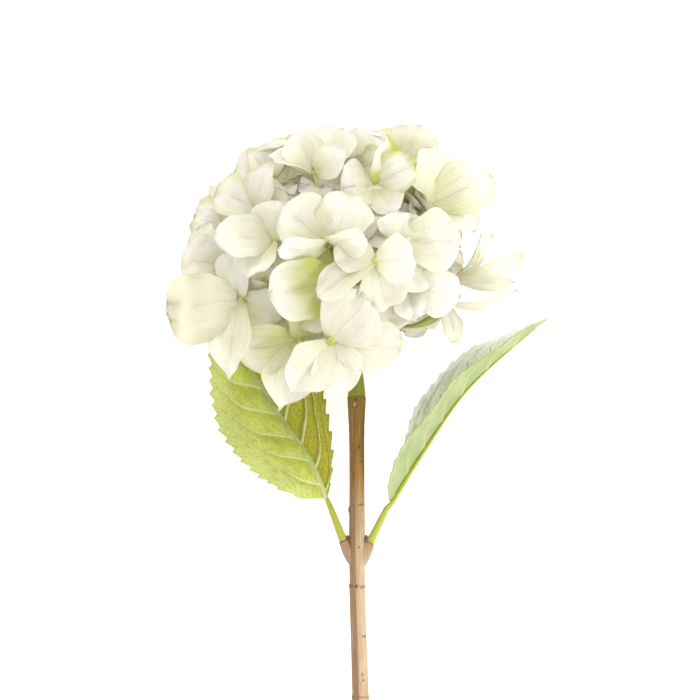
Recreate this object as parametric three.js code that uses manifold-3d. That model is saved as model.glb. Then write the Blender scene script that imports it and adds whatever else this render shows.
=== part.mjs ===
// A cut hydrangea, laid down on a flat surface: a woody stem with one pair of toothed leaves and one round
// head of four-sepalled florets. Lengths are in millimetres.
//
// The flower is modelled in its own upright axes: X across, Y up the stem and Z towards the side that is seen,
// with the leaf node at the origin. One group then lays it back on the surface, so that +Z is up, the stem
// runs along Y, and the origin lies on the flat sepal under the head.
import * as THREE from "three";
import { mergeVertices } from "three/addons/utils/BufferGeometryUtils.js";
import Module from "manifold-3d";

const wasm = await Module();
wasm.setup();
const vec = (x, y, z) => new THREE.Vector3(x, y, z);

// Driving dimensions
const LEAN = THREE.MathUtils.degToRad(10); // slope of the stem as it lies, from the head down to the cut end
const GAP = 0.3; // between pieces that touch
const BLADE = 0.7; // thickness of a sepal or a leaf
const ABOVE = 0.85; // height of the middle of a sepal's thickness where the surface would meet it

const HEAD = vec(-13.5, 140.5, 2); // middle of the head
const FRONT_REACH = vec(62, 54, 52); // from there to the eyes of the florets, across, up and forwards
const BACK_REACH = vec(62, 54, 50); // the same on the side that lies down

const STEM_TOP = 74; // where brown bark gives way to green, above the leaf node
const STEM_END = -150;
const END_RADIUS = 4.1;
const CUT_SLOPE = 0.55; // slant of the cut, rise over run
const FORK = vec(-3, 100, 1); // where the green stalk parts into rays

const UP = vec(0, Math.sin(LEAN), Math.cos(LEAN)); // away from the surface, in the flower's own axes
const LOW_CORNER = vec(0, STEM_END - CUT_SLOPE * END_RADIUS, -END_RADIUS); // of the cut end, which touches it
const NODE_AT = vec(13.5, -147, -LOW_CORNER.dot(UP)); // the leaf node's place once the flower lies down
const heightOf = (p) => p.dot(UP) + NODE_AT.z;
const lifted = (p, least) => p.clone().addScaledVector(UP, Math.max(0, least - heightOf(p)));

// Florets that are seen: the eye, across and up from the head's middle, how far it stands out of the head's
// round form, and its sepals, each with its tip across, up and out, its half width and its roll in degrees.
const SEEN_FLORETS = [
  { eye: [-0.5, 9.5], out: 0,
    sepals: [[-24, 27, 2, 13.5, 0], [12, 34, -2, 13.5, 8], [17, 14.5, 20, 11.5, 0], [-24, 2, 13, 12, 0]] },
  { eye: [4, -7], out: -8,
    sepals: [[-29, -17, 8, 15.5, -15], [-27, 8, -3, 12, 15], [22, -12, -8, 12, 0], [4, -33, -6, 13, 0]] },
  { eye: [22, 1], out: 5,
    sepals: [[-6, -17, 5, 8.5, 35], [42, 1, -4, 12.5, -10], [10, 15, 8, 10, 15], [28, -23, -12, 12, 0]] },
  { eye: [35, 10], out: -3,
    sepals: [[15, 17, 2, 11, 20], [37, 25, 2, 13, 0], [64, 11, -6, 14.5, 0], [50, -12, -2, 14, 0]] },
  { eye: [49, 29], out: 3,
    sepals: [[55, 57.5, -4, 14.5, 0], [81, 42, -8, 13, 0], [73, 17, 2, 12, 0], [36, 46, 8, 10, 30]] },
  { eye: [23, 39], out: 0,
    sepals: [[28.5, 64, 6, 8, 50], [43, 50, 8, 10.5, 20], [31, 24, 12, 9.5, 10], [6, 37, 6, 11.5, 0]] },
  { eye: [36, 51], out: -4,
    sepals: [[46.5, 69.5, 4, 12, 0], [55, 58, -4, 12, 0], [22, 68, 0, 10, 20], [48, 38, 4, 11, 0]] },
  { eye: [14, 47], out: -4,
    sepals: [[12, 68, 2, 9, 0], [26, 63, -6, 11, 10], [30, 51, 8, 9, 30], [-3, 33, 10, 12, 0]] },
  { eye: [-8, 45], out: 0,
    sepals: [[-30, 55, 4, 8.5, 30], [-20, 68, -3, 10, 0], [6, 67.5, -6, 13, 0], [8, 55, 13, 8, 35]] },
  { eye: [-30, 43], out: -1,
    sepals: [[-41, 57, 0, 8, 25], [-24, 63, -4, 10, 0], [-47, 45, 2, 12, 0], [-18, 30, 8, 12, 0]] },
  { eye: [-37, 27], out: -2,
    sepals: [[-29.5, 50.5, 6, 9, 0], [-56, 37, 0, 11.5, 10], [-18, 31, 8, 11, 10], [-44, 3, 2, 12, 15]] },
  { eye: [-53, 20], out: -5,
    sepals: [[-68.5, 22, -3, 12, 0], [-62, 3, 0, 11, 20], [-43, 35, 2, 11, 15], [-59, 38, -9, 11, 0]] },
  { eye: [-54, -1], out: -8,
    sepals: [[-73, 4, 0, 12.5, 0], [-46, -24, 4, 11, 0], [-36, 8, 2, 11, 0], [-66, 18, -6, 11, 0]] },
  { eye: [-28, 11], out: 0,
    sepals: [[-37.5, -5, 12, 8, 45], [-57, 13, 4, 11.5, 10], [-24, 30, 2, 11, 0], [-9, 2, 2, 12, 0]] },
  { eye: [-44, -17.5], out: 0, turned: 0.6,
    sepals: [[-81, -22, -4, 17, 0], [-50, -57, 2, 11.5, 15], [-48, 6, 6, 9.5, -20], [-24, -27, 2, 11, 0]] },
  { eye: [-15, -38.5], out: 0, turned: 0.6,
    sepals: [[-46, -43, 0, 12, 0], [-26, -72.5, -4, 12.5, 0], [-11, -15, 3, 11, 30], [4, -60, -6, 12, 0]] },
  { eye: [0.5, -38.5], out: 6, turned: 0.8,
    sepals: [[19, -17, 4, 15, 0], [34.5, -43, -4, 13, 0], [11, -67, -4, 12.5, 0], [-18, -64, 0, 12, 0]] },
  { eye: [38, -10], out: 0,
    sepals: [[43, -28, 4, 9, 15], [24, -32, -2, 11, 20], [64, -19, 0, 11, 0], [46, 14, 2, 12, 0]] },
  { eye: [62, -7], out: 4,
    sepals: [[80.5, 15.5, 6, 5, 60], [92, -8, 4, 4, 80], [96, 5, -10, 5, 50], [75, 14, -8, 4, 70]] },
  { eye: [57, -20], out: 8,
    sepals: [[92, -12.5, 4, 4, 80], [62, -40, 8, 4, 70], [48, -2, 8, 10, 0], [41, -26, 0, 9, 0]] },
];
const RESTING_EYE = vec(1.5, -16, 0); // the floret pressed flat under the head, in the axes of the surface
const RESTING_SEPAL = { length: 30, half: 13 };

// Florets by rule, over the sides and the back
const LATTICE = 66; // places spread evenly round the head
const NEIGHBOUR = 15.5; // the least distance between two eyes
const LEAF_ROOM = 9; // and from the sepals to the left leaf
const RULE_SEPAL = { length: 31, half: 0.47, cup: 0.2 }; // the half width is a share of the length
const LAYERS = [1.05, 0.93]; // how far out the florets by rule stand, in turn, as shares of the form
const SEPALS_REACH = { x: 70, y: 66 }; // the furthest they come from the head's middle, across and up
const BARE_REACH = 50; // and the furthest towards the bare side
const NOTCH = 2.3; // from the eye to the notch between two sepals
const BARE_SIDE = vec(0.75, -0.66, 0); // low on the right the head is open, and the stalks show
const BARE_FROM = 46;
const SIDE = 0.2; // how far round to the front they come
const FOOT = -0.86; // and how far down to the stalk
const SHIFTS = [0, 4, -4, 8, -8]; // how far a floret may stand out or in, so that its sepals pass between others
const RISES = [0, 3, -3, 6, -6]; // and how far each sepal's tip may rise or sink
const SEPAL_EDGE = [[0.58, 1], [0.97, 0.52], [0.97, -0.52], [0.58, -1]]; // shares of the length and half width
const SEPAL_MIDDLE = [0.6, 0];
const RAYS = 9;
const KNOT = 3.4; // the swelling where a ray parts into floret stalks
let draw = 203; // seed of the random draws
const random = (low, high) => {
  draw = (draw * 16807) % 2147483647;
  return low + ((high - low) * draw) / 2147483647;
};

// Solids

// The closed solid of a list of points and a list of triangles.
function solidFrom(points, triangles) {
  const geometry = new THREE.BufferGeometry().setFromPoints(points).setIndex(triangles.flat());
  return solidOf(geometry);
}

function solidOf(geometry) {
  const bare = geometry.clone();
  for (const name of Object.keys(bare.attributes)) if (name !== "position") bare.deleteAttribute(name);
  const merged = mergeVertices(bare, 1e-4);
  return new wasm.Manifold(
    new wasm.Mesh({
      numProp: 3,
      vertProperties: Float32Array.from(merged.attributes.position.array),
      triVerts: Uint32Array.from(merged.index.array),
    }),
  );
}

const joined = (solids) => wasm.Manifold.union(solids);
const body = (solid) => solid.decompose().sort((a, b) => b.volume() - a.volume())[0];

// A thin blade about a curved middle surface. Its triangles and its rim run anticlockwise, seen from the side
// that the normals point to.
function blade(points, normals, triangles, rim) {
  const n = points.length;
  const face = (side) => points.map((p, i) => p.clone().addScaledVector(normals[i], (side * BLADE) / 2));
  const under = triangles.map(([a, b, c]) => [a + n, c + n, b + n]);
  const edge = rim.flatMap((a, i) => {
    const b = rim[(i + 1) % rim.length];
    return [[a + n, b + n, b], [a + n, b, a]];
  });
  return solidFrom([...face(1), ...face(-1)], [...triangles, ...under, ...edge]);
}

// A straight tapered rod.
function rod(from, to, startRadius, endRadius, sides) {
  const along = to.clone().sub(from);
  const geometry = new THREE.CylinderGeometry(endRadius, startRadius, along.length(), sides);
  geometry.applyQuaternion(new THREE.Quaternion().setFromUnitVectors(vec(0, 1, 0), along.clone().normalize()));
  geometry.translate(...from.clone().lerp(to, 0.5));
  return solidOf(geometry);
}

// A round bar through the given stations, each a place and a radius, with flat ends square to its line.
function bar(stations, sides) {
  const line = new THREE.CatmullRomCurve3(stations.map((s) => s.at), false, "centripetal");
  const points = stations.flatMap((s, i) => {
    const along = line.getTangent(i / (stations.length - 1));
    const side = vec(0, 0, 1).addScaledVector(along, -along.z).normalize();
    const across = side.clone().cross(along);
    return Array.from({ length: sides }, (_, k) => {
      const angle = (2 * Math.PI * k) / sides;
      return s.at.clone()
        .addScaledVector(side, s.radius * Math.cos(angle))
        .addScaledVector(across, s.radius * Math.sin(angle));
    });
  });
  const last = (stations.length - 1) * sides;
  const triangles = [];
  for (let i = 0; i < stations.length - 1; i++)
    for (let k = 0; k < sides; k++) {
      const [a, b] = [i * sides + k, i * sides + ((k + 1) % sides)];
      triangles.push([a, b + sides, b], [a, a + sides, b + sides]);
    }
  for (let k = 1; k < sides - 1; k++) triangles.push([0, k, k + 1], [last, last + k + 1, last + k]);
  return solidFrom(points, triangles);
}

// Stem

const BARK = [
  // height above the leaf node, sideways lean of the stem there, and radius
  [STEM_TOP, -0.2, 4.6], [71, -0.2, 4.5], [66, -0.2, 4.2], [58, -0.2, 3.9], [48, -0.1, 3.75], [30, 0, 3.75],
  [20, 0, 3.85], [8, 0, 3.9], [-6, 0, 4.2], [-13, 0.1, 3.8], [-18.5, 0.1, 3.75], [-20.5, 0.1, 4.15],
  [-22.5, 0.1, 3.85], [-45, 0.8, 3.9], [-74, 1.7, 4.0], [-76, 1.75, 4.35], [-78, 1.8, 4.05], [-110, 2.6, 4.1],
  [-128, 2.9, 4.1], [-130, 2.9, 4.45], [-132, 2.95, END_RADIUS], [STEM_END - 6, 3.1, END_RADIUS],
];
const PETIOLES = [
  // for each leaf, the middle of its leaf base's end on the stem, and the direction in which the petiole leaves
  { name: "leaf_left", from: vec(-6.6, 2, 0), along: vec(-0.407, 0.913, 0), root: vec(-0.8, -11, 0) },
  { name: "leaf_right", from: vec(6.2, 1, 0), along: vec(0.45, 0.893, 0), root: vec(0.8, -12, 0) },
];

function stem() {
  const bark = bar(BARK.map(([up, lean, radius]) => ({ at: vec(lean, up, 0), radius })), 12);
  const bases = PETIOLES.map(({ from, along, root }) =>
    bar([
      { at: root, radius: 2.4 },
      { at: root.clone().lerp(from, 0.55), radius: 3 },
      { at: from.clone().addScaledVector(along, 1), radius: 2.3 },
    ], 8).trimByPlane(along.clone().negate().toArray(), -along.dot(from)),
  );
  const cut = vec(0, 1, -CUT_SLOPE).normalize();
  return joined([bark, ...bases]).trimByPlane(cut.toArray(), cut.y * STEM_END);
}

// Leaves

const TEETH = 18;
const TOOTH = 1.7; // how far a tooth stands out past the notch behind it

const EVEN_WIDTHS = [
  [0, 0.6], [0.05, 10], [0.14, 20], [0.26, 27], [0.4, 29],
  [0.55, 27], [0.7, 20], [0.84, 11], [0.93, 5.5], [1, 0.8],
];

// Each leaf: the midrib's points, the way the upper side faces, and its two halves, the first to the left of
// the midrib, seen from above with the tip up. A half has the angle by which it folds up from the facing, in
// degrees, and its width at shares of the midrib's length.
const LEAVES = {
  leaf_left: {
    midrib: [
      vec(-15, 23.3, -4), vec(-22.9, 41.8, -10), vec(-41.1, 68.1, -25), vec(-57, 94, -38), vec(-72.5, 120, -44),
    ],
    facing: vec(0.1, 0.3, 1),
    halves: [
      { fold: 4, widths: [
        [0, 0.6], [0.03, 12], [0.1, 21], [0.2, 26], [0.35, 30],
        [0.5, 28], [0.65, 21], [0.82, 12.5], [0.93, 6], [1, 0.8],
      ] },
      { fold: 36, widths: [
        [0, 0.6], [0.06, 5], [0.15, 11], [0.25, 19], [0.38, 27],
        [0.52, 30], [0.66, 26], [0.82, 15], [0.93, 7], [1, 0.8],
      ] },
    ],
  },
  leaf_right: {
    midrib: [
      vec(16.6, 21.8, 0), vec(31.3, 45.2, 0), vec(54.1, 77.3, 0), vec(82.2, 102.8, -1), vec(95, 112.8, -3),
    ],
    facing: vec(-0.76, 0.65, 0),
    halves: [
      { fold: 29, widths: EVEN_WIDTHS },
      { fold: 16, widths: EVEN_WIDTHS },
    ],
  },
};

function widthAt(widths, s) {
  const i = Math.max(1, widths.findIndex(([at]) => at >= s - 1e-9));
  const [[s0, w0], [s1, w1]] = [widths[i - 1], widths[i]];
  return THREE.MathUtils.lerp(w0, w1, (s - s0) / (s1 - s0));
}

const midribOf = ({ midrib }) => new THREE.CatmullRomCurve3(midrib, false, "centripetal");

// A place on one half of a blade: share of the way along the midrib, share of the way out to the margin, and
// how far past the margin. It comes with the way the upper side faces there.
function bladePlace({ facing, halves }, line, s, half, out, past = 0) {
  const { fold, widths } = halves[half];
  const wide = widthAt(widths, s);
  const tangent = line.getTangentAt(s);
  const face = facing.clone().addScaledVector(tangent, -facing.dot(tangent)).normalize();
  const across = tangent.clone().cross(face).multiplyScalar(half ? 1 : -1);
  const angle = THREE.MathUtils.degToRad(fold);
  const outward = across.clone().multiplyScalar(Math.cos(angle)).addScaledVector(face, Math.sin(angle));
  const normal = face.clone().multiplyScalar(Math.cos(angle)).addScaledVector(across, -Math.sin(angle));
  const arch = 0.16 * wide * out * (1 - out);
  const at = line.getPointAt(s).addScaledVector(outward, wide * out + past).addScaledVector(normal, arch);
  return { at, normal: out ? normal : face };
}

function leaf(name) {
  const shape = LEAVES[name];
  const { from, along } = PETIOLES.find((p) => p.name === name);
  const line = midribOf(shape);
  const points = [];
  const normals = [];
  const put = (s, half, out, past) => {
    const { at, normal } = bladePlace(shape, line, s, half, out, past);
    points.push(at);
    normals.push(normal);
    return points.length - 1;
  };
  const stations = Array.from({ length: TEETH + 1 }, (_, i) => i / TEETH);
  const spine = stations.map((s) => put(s, 0, 0));
  const triangles = [];
  const margins = [0, 1].map((half) => {
    const middle = stations.map((s) => put(s, half, 0.5));
    const notch = stations.map((s) => put(s, half, 1));
    const tooth = stations.slice(1).map((s, i) => {
      const at = THREE.MathUtils.lerp(stations[i], s, 0.85);
      return put(at, half, 1, TOOTH * Math.min(1, 0.3 + 4 * at, 0.2 + 5 * (1 - at)));
    });
    const turn = (t) => triangles.push(half ? t : [t[0], t[2], t[1]]);
    for (let i = 0; i < TEETH; i++) {
      turn([spine[i], middle[i], middle[i + 1]]);
      turn([spine[i], middle[i + 1], spine[i + 1]]);
      turn([middle[i], notch[i], tooth[i]]);
      turn([middle[i], tooth[i], middle[i + 1]]);
      turn([middle[i + 1], tooth[i], notch[i + 1]]);
    }
    const edge = notch.flatMap((n, i) => (i < TEETH ? [n, tooth[i]] : [n]));
    return { foot: middle[0], edge, head: middle[TEETH] };
  });
  const [left, right] = margins;
  const rim = [
    spine[0], right.foot, ...right.edge, right.head,
    spine[TEETH], left.head, ...left.edge.reverse(), left.foot,
  ];
  const rib = [
    { at: from.clone().addScaledVector(along, -1), radius: 2.2 },
    { at: from.clone().addScaledVector(along, 3), radius: 2.05 },
    { at: from.clone().lerp(shape.midrib[0], 0.55).addScaledVector(along, 1), radius: 1.7 },
    ...[0, 0.12, 0.3, 0.5, 0.7, 0.88].map((s) => ({ at: line.getPointAt(s), radius: 1.35 - 0.85 * s })),
  ];
  const petiole = bar(rib, 6).trimByPlane(along.toArray(), along.dot(from) + GAP);
  return body(joined([blade(points, normals, triangles, rim), petiole]));
}

// Florets

function roundPlace(across, up, reach) {
  const room = 1 - (across / reach.x) ** 2 - (up / reach.y) ** 2;
  return vec(across, up, reach.z * Math.sqrt(Math.max(0, room)));
}

// The way out of the head's round form at a place given from the head's middle.
function outwardAt(p) {
  const reach = p.z > 0 ? FRONT_REACH : BACK_REACH;
  return p.clone().divide(reach).divide(reach).normalize();
}

function seenFloret({ eye: [across, up], out, turned = 0.4, sepals }) {
  const onForm = roundPlace(across, up, FRONT_REACH);
  const facing = outwardAt(onForm).lerp(vec(0, 0, 1), turned).normalize();
  const eye = onForm.addScaledVector(vec(0, 0, 1), out);
  return {
    eye: eye.clone().add(HEAD),
    facing,
    sepals: sepals.map(([x, y, z, half, roll]) => ({
      tip: vec(x, y, eye.z + z).add(HEAD), half, roll: THREE.MathUtils.degToRad(roll), bow: 0.1, cup: 0.22,
    })),
  };
}

// A place given from the head's middle, drawn in to the outline that the sepals by rule keep to.
function within(p) {
  const round = Math.hypot(p.x / SEPALS_REACH.x, p.y / SEPALS_REACH.y);
  const past = Math.max(1, round, p.dot(BARE_SIDE) / BARE_REACH);
  return p.clone().divide(vec(past, past, 1));
}

function ruledFloret(direction, layer) {
  const reach = direction.z > 0 ? FRONT_REACH : BACK_REACH;
  const eye = direction.clone().multiply(reach).multiplyScalar(layer + random(-0.02, 0.02));
  const facing = outwardAt(eye);
  const first = vec(0, 0, 1).cross(facing).normalize();
  const spin = random(0, Math.PI / 2);
  const sepals = [0, 1, 2, 3].map((k) => {
    const way = first.clone().applyAxisAngle(facing, spin + (k * Math.PI) / 2 + random(-0.03, 0.03));
    const rise = RULE_SEPAL.cup + random(-0.1, 0.1);
    const along = way.multiplyScalar(Math.cos(rise)).addScaledVector(facing, Math.sin(rise));
    const tip = within(eye.clone().addScaledVector(along, RULE_SEPAL.length * random(0.88, 1.12)));
    const half = tip.distanceTo(eye) * RULE_SEPAL.half * random(0.94, 1.06);
    return { tip: tip.add(HEAD), half, roll: random(-0.3, 0.3), bow: 0.1, cup: 0.2 };
  });
  return { eye: eye.add(HEAD), facing, sepals, ruled: true };
}

function restingFloret() {
  const down = UP.clone().negate();
  const eye = new THREE.Vector3().copy(RESTING_EYE).sub(NODE_AT).applyAxisAngle(vec(1, 0, 0), -LEAN);
  eye.copy(lifted(eye, BLADE / 2));
  const sepals = [0, 1, 2, 3].map((k) => ({
    tip: vec(0, RESTING_SEPAL.length, 0).applyAxisAngle(vec(0, 0, 1), (k * Math.PI) / 2)
      .applyAxisAngle(vec(1, 0, 0), -LEAN).add(eye),
    half: RESTING_SEPAL.half, roll: 0, bow: 0, cup: 0,
  }));
  return { eye, facing: down, sepals, resting: true };
}

// The tips and the middle of a sepal as flat triangles, to see what it passes through.
const FAN = [0, 1, 2, 3, 4].map((i) => [5, i, (i + 1) % 5]);
const FAN_EDGES = FAN.flatMap(([middle, a, b]) => [[middle, a], [a, b]]);

function fanOf(floret, sepal) {
  const { put, foot } = sepalPlaces(floret, sepal);
  const points = [[foot, 0], ...SEPAL_EDGE, SEPAL_MIDDLE].map(([s, out]) => put(s, out));
  return { points, reach: Math.max(...points.map((p) => p.distanceTo(points[5]))) };
}

// How many times the edges of one fan pass through the triangles of the other.
function pierces(a, b) {
  let hits = 0;
  for (const [i, k] of FAN_EDGES) {
    const from = a.points[i];
    const ray = new THREE.Ray(from, a.points[k].clone().sub(from).normalize());
    const length = from.distanceTo(a.points[k]);
    for (const corners of FAN) {
      const at = ray.intersectTriangle(...corners.map((j) => b.points[j]), false, vec(0, 0, 0));
      if (at && at.distanceTo(from) <= length) hits++;
    }
  }
  return hits;
}

function crossings(a, b) {
  const apart = a.points[5].distanceTo(b.points[5]) > a.reach + b.reach;
  return apart ? 0 : pierces(a, b) + pierces(b, a);
}

// The first of the options with no hits, or else the one with the fewest.
function clearest(options, make) {
  let best;
  for (const option of options) {
    const made = make(option);
    if (!best || made.hits < best.hits) best = made;
    if (!best.hits) break;
  }
  return best;
}

// Moves each floret out or in, and its sepals' tips up or down, until they pass clear of the florets before it.
function settle(florets) {
  const placed = [];
  for (const floret of florets.filter((f) => !f.resting)) {
    const { eye, sepals } = floret;
    const way = floret.ruled ? floret.facing : vec(0, 0, 1);
    const tips = sepals.map((sepal) => sepal.tip);
    const best = clearest(SHIFTS, (shift) => {
      floret.eye = eye.clone().addScaledVector(way, shift);
      const fans = [];
      let hits = 0;
      for (const [k, sepal] of sepals.entries()) {
        const chosen = clearest(RISES, (rise) => {
          const moved = tips[k].clone().addScaledVector(way, shift + rise);
          const tip = floret.ruled ? within(moved.sub(HEAD)).add(HEAD) : moved;
          const fan = fanOf(floret, { ...sepal, tip });
          return { tip, fan, hits: [...placed, ...fans].reduce((sum, other) => sum + crossings(fan, other), 0) };
        });
        sepal.tip = chosen.tip;
        fans.push(chosen.fan);
        hits += chosen.hits;
      }
      return { eye: floret.eye, tips: sepals.map((sepal) => sepal.tip), fans, hits };
    });
    floret.eye = best.eye;
    best.tips.forEach((tip, k) => (sepals[k].tip = tip));
    placed.push(...best.fans);
  }
}

function allFlorets() {
  const florets = [restingFloret(), ...SEEN_FLORETS.map(seenFloret)];
  const shape = LEAVES.leaf_left;
  const line = midribOf(shape);
  const leafPlaces = [0.3, 0.4, 0.5, 0.6, 0.7, 0.8, 0.9, 1].flatMap((s) =>
    [0, 0.5, 1].flatMap((out) => [0, 1].map((half) => bladePlace(shape, line, s, half, out).at)));
  const room = (p) => Math.min(...leafPlaces.map((q) => q.distanceTo(p)));
  for (let i = 0; i < LATTICE; i++) {
    const level = 1 - (2 * i + 1) / LATTICE;
    const turn = i * Math.PI * (3 - Math.sqrt(5));
    const ring = Math.sqrt(1 - level * level);
    const direction = vec(ring * Math.cos(turn), level, ring * Math.sin(turn));
    const floret = ruledFloret(direction, LAYERS[i % 2]);
    const nearest = Math.min(...florets.map((f) => f.eye.distanceTo(floret.eye)));
    const reached = floret.sepals.flatMap(({ tip }) => [tip, tip.clone().lerp(floret.eye, 0.5)]);
    const offLeaf = Math.min(...reached.map(room));
    const low = floret.eye.clone().sub(HEAD).dot(BARE_SIDE);
    const hidden = direction.z < SIDE && direction.y > FOOT && low < BARE_FROM;
    if (hidden && nearest > NEIGHBOUR && offLeaf > LEAF_ROOM) florets.push(floret);
  }
  settle(florets);
  return florets;
}

// Where a share of the way out along a sepal and a share of the way out across it comes to lie, and its face.
function sepalPlaces({ eye, facing, resting }, { tip, half, roll, bow, cup }) {
  const along = tip.clone().sub(eye);
  const length = along.length();
  along.normalize();
  const face = facing.clone().addScaledVector(along, -facing.dot(along)).normalize().applyAxisAngle(along, roll);
  const across = along.clone().cross(face);
  const put = (s, out) =>
    lifted(
      eye.clone().addScaledVector(along, length * s).addScaledVector(across, half * out)
        .addScaledVector(face, bow * length * Math.sin(Math.PI * s) + cup * half * out * out),
      resting ? BLADE / 2 : ABOVE,
    );
  return { along, face, put, foot: 0.6 / length };
}

function sepalSolid(floret, sepal) {
  const { face, put, foot } = sepalPlaces(floret, sepal);
  const points = [[foot, 0], ...SEPAL_EDGE, SEPAL_MIDDLE].map(([s, out]) => put(s, out));
  return blade(points, points.map(() => face), FAN, [0, 1, 2, 3, 4]);
}

// A floret of four sepals at right angles, as one sheet with a notch between each two.
function sheetFloret(floret) {
  const { eye, facing, sepals } = floret;
  const places = sepals.map((sepal) => sepalPlaces(floret, sepal));
  const points = [lifted(eye, ABOVE)];
  const normals = [facing];
  for (const [k, { along, face, put }] of places.entries()) {
    const between = along.clone().add(places[(k + 1) % 4].along).normalize();
    points.push(put(...SEPAL_MIDDLE), ...SEPAL_EDGE.map(([s, out]) => put(s, out)));
    points.push(lifted(eye.clone().addScaledVector(between, NOTCH), ABOVE));
    normals.push(face, face, face, face, face, facing);
  }
  const starts = [1, 7, 13, 19];
  const triangles = starts.flatMap((m, k) => {
    const ring = [0, starts[(k + 3) % 4] + 5, m + 1, m + 2, m + 3, m + 4, m + 5];
    return ring.map((point, i) => [m, point, ring[(i + 1) % 7]]);
  });
  return blade(points, normals, triangles, starts.flatMap((m) => [m + 1, m + 2, m + 3, m + 4, m + 5]));
}

const floretSolids = (floret) =>
  floret.ruled ? [sheetFloret(floret)] : floret.sepals.map((sepal) => sepalSolid(floret, sepal));

// Where each floret's thin stalk comes from: the end of the ray that is nearest.
const rayEnds = Array.from({ length: RAYS }, (_, i) => {
  const level = 0.92 - (1.5 * (i + 0.5)) / RAYS;
  const turn = i * Math.PI * (3 - Math.sqrt(5)) + 0.6;
  const ring = Math.sqrt(1 - level * level);
  return vec(26 * ring * Math.cos(turn), 22 * level + 2, 22 * ring * Math.sin(turn)).add(HEAD);
});

// A floret's thin stalk, which widens into the small green cup that shows as the eye.
function floretStalk({ eye, facing }) {
  const ray = rayEnds.reduce((a, b) => (b.distanceTo(eye) < a.distanceTo(eye) ? b : a));
  const top = lifted(eye.clone().addScaledVector(facing, 1.4), 0.6);
  return rod(ray, top, 0.75, 2.5, 3);
}

function stalk() {
  const trunk = bar([
    { at: vec(-0.2, STEM_TOP + GAP, 0), radius: 4.45 },
    { at: vec(-0.2, STEM_TOP + 3, 0), radius: 4.3 },
    { at: vec(-0.6, STEM_TOP + 9, 0), radius: 4.0 },
    { at: vec(-2, 92, 0.5), radius: 3.7 },
    { at: FORK.clone(), radius: 3.4 },
  ], 8);
  const knot = (at, radius) => solidOf(new THREE.OctahedronGeometry(radius).translate(...at));
  return [trunk, knot(FORK, 5), ...rayEnds.flatMap((end) => [rod(FORK, end, 1.9, 1.5, 4), knot(end, KNOT)])];
}

function flowerHead() {
  const florets = allFlorets();
  const sepals = florets.flatMap(floretSolids);
  const whole = joined([...stalk(), ...florets.map(floretStalk), ...sepals]);
  return body(whole);
}

// The flower

function mesh(name, solid, color, roughness) {
  const { vertProperties, triVerts } = solid.getMesh();
  const geometry = new THREE.BufferGeometry()
    .setAttribute("position", new THREE.BufferAttribute(vertProperties, 3))
    .setIndex(new THREE.BufferAttribute(triVerts, 1));
  geometry.computeVertexNormals();
  const made = new THREE.Mesh(geometry, new THREE.MeshStandardMaterial({ color, roughness, metalness: 0 }));
  made.name = name;
  return made;
}

const flower = new THREE.Group();
flower.rotation.x = LEAN;
flower.position.copy(NODE_AT);
flower.add(
  mesh("stem", stem(), 0xb48a5c, 0.75),
  mesh("flower_head", flowerHead(), 0xf6f4e6, 0.6),
  mesh("leaf_left", leaf("leaf_left"), 0x9fb63a, 0.5),
  mesh("leaf_right", leaf("leaf_right"), 0xa9c070, 0.5),
);

const hydrangea = new THREE.Group();
hydrangea.add(flower);
export default hydrangea;
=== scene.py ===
"""A cut hydrangea laid on a pale surface: its sepals, buds, stalks, veined leaves and bark.

Shapes are worked out in millimetres in the flower's own upright axes, X across, Y up the stem and Z towards
the side that is seen, with the leaf node at the origin. LAID then turns them onto the surface, in metres.
"""

from math import atan2, copysign, cos, hypot, pi, radians, sin, sqrt

import bpy
from mathutils import Matrix, Vector, geometry, noise


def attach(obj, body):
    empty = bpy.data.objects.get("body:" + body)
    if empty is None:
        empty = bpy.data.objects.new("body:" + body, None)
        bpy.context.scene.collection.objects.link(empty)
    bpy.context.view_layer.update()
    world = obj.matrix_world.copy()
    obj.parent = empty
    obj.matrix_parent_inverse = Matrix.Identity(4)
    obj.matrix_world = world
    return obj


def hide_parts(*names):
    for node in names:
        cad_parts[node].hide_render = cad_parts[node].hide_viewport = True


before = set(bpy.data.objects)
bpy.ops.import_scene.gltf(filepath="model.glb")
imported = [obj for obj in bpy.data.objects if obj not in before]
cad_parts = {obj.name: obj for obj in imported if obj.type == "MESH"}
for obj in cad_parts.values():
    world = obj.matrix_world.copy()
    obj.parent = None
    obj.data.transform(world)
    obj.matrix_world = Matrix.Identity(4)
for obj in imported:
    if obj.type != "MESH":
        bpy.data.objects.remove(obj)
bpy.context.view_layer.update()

# Driving sizes, the same as the solids'
LEAN = radians(10)
STEM_TOP, STEM_END = 74, -150
END_RADIUS, CUT_SLOPE = 4.1, 0.55
HEAD = Vector((-13.5, 140.5, 2))
FRONT_REACH = Vector((62, 54, 52))
BACK_REACH = Vector((62, 54, 50))
FORK = Vector((-3, 100, 1))
UP = Vector((0, sin(LEAN), cos(LEAN)))
LOW_CORNER = Vector((0, STEM_END - CUT_SLOPE * END_RADIUS, -END_RADIUS))
NODE_AT = Vector((13.5, -147, -LOW_CORNER.dot(UP)))
LAID = Matrix.Scale(0.001, 4) @ Matrix.Translation(NODE_AT) @ Matrix.Rotation(LEAN, 4, "X")

SEPAL_THICK = 0.3
SEPAL_CLEAR = 0.4 # the least room below a soft sepal
SPREAD = 1.06 # how much wider the soft sepals lie than the solids' flat ones
CRUMPLE = 0.3 # how far a sepal's soft dents go, as a share of its half width
LEAF_THICK = 0.4

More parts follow.
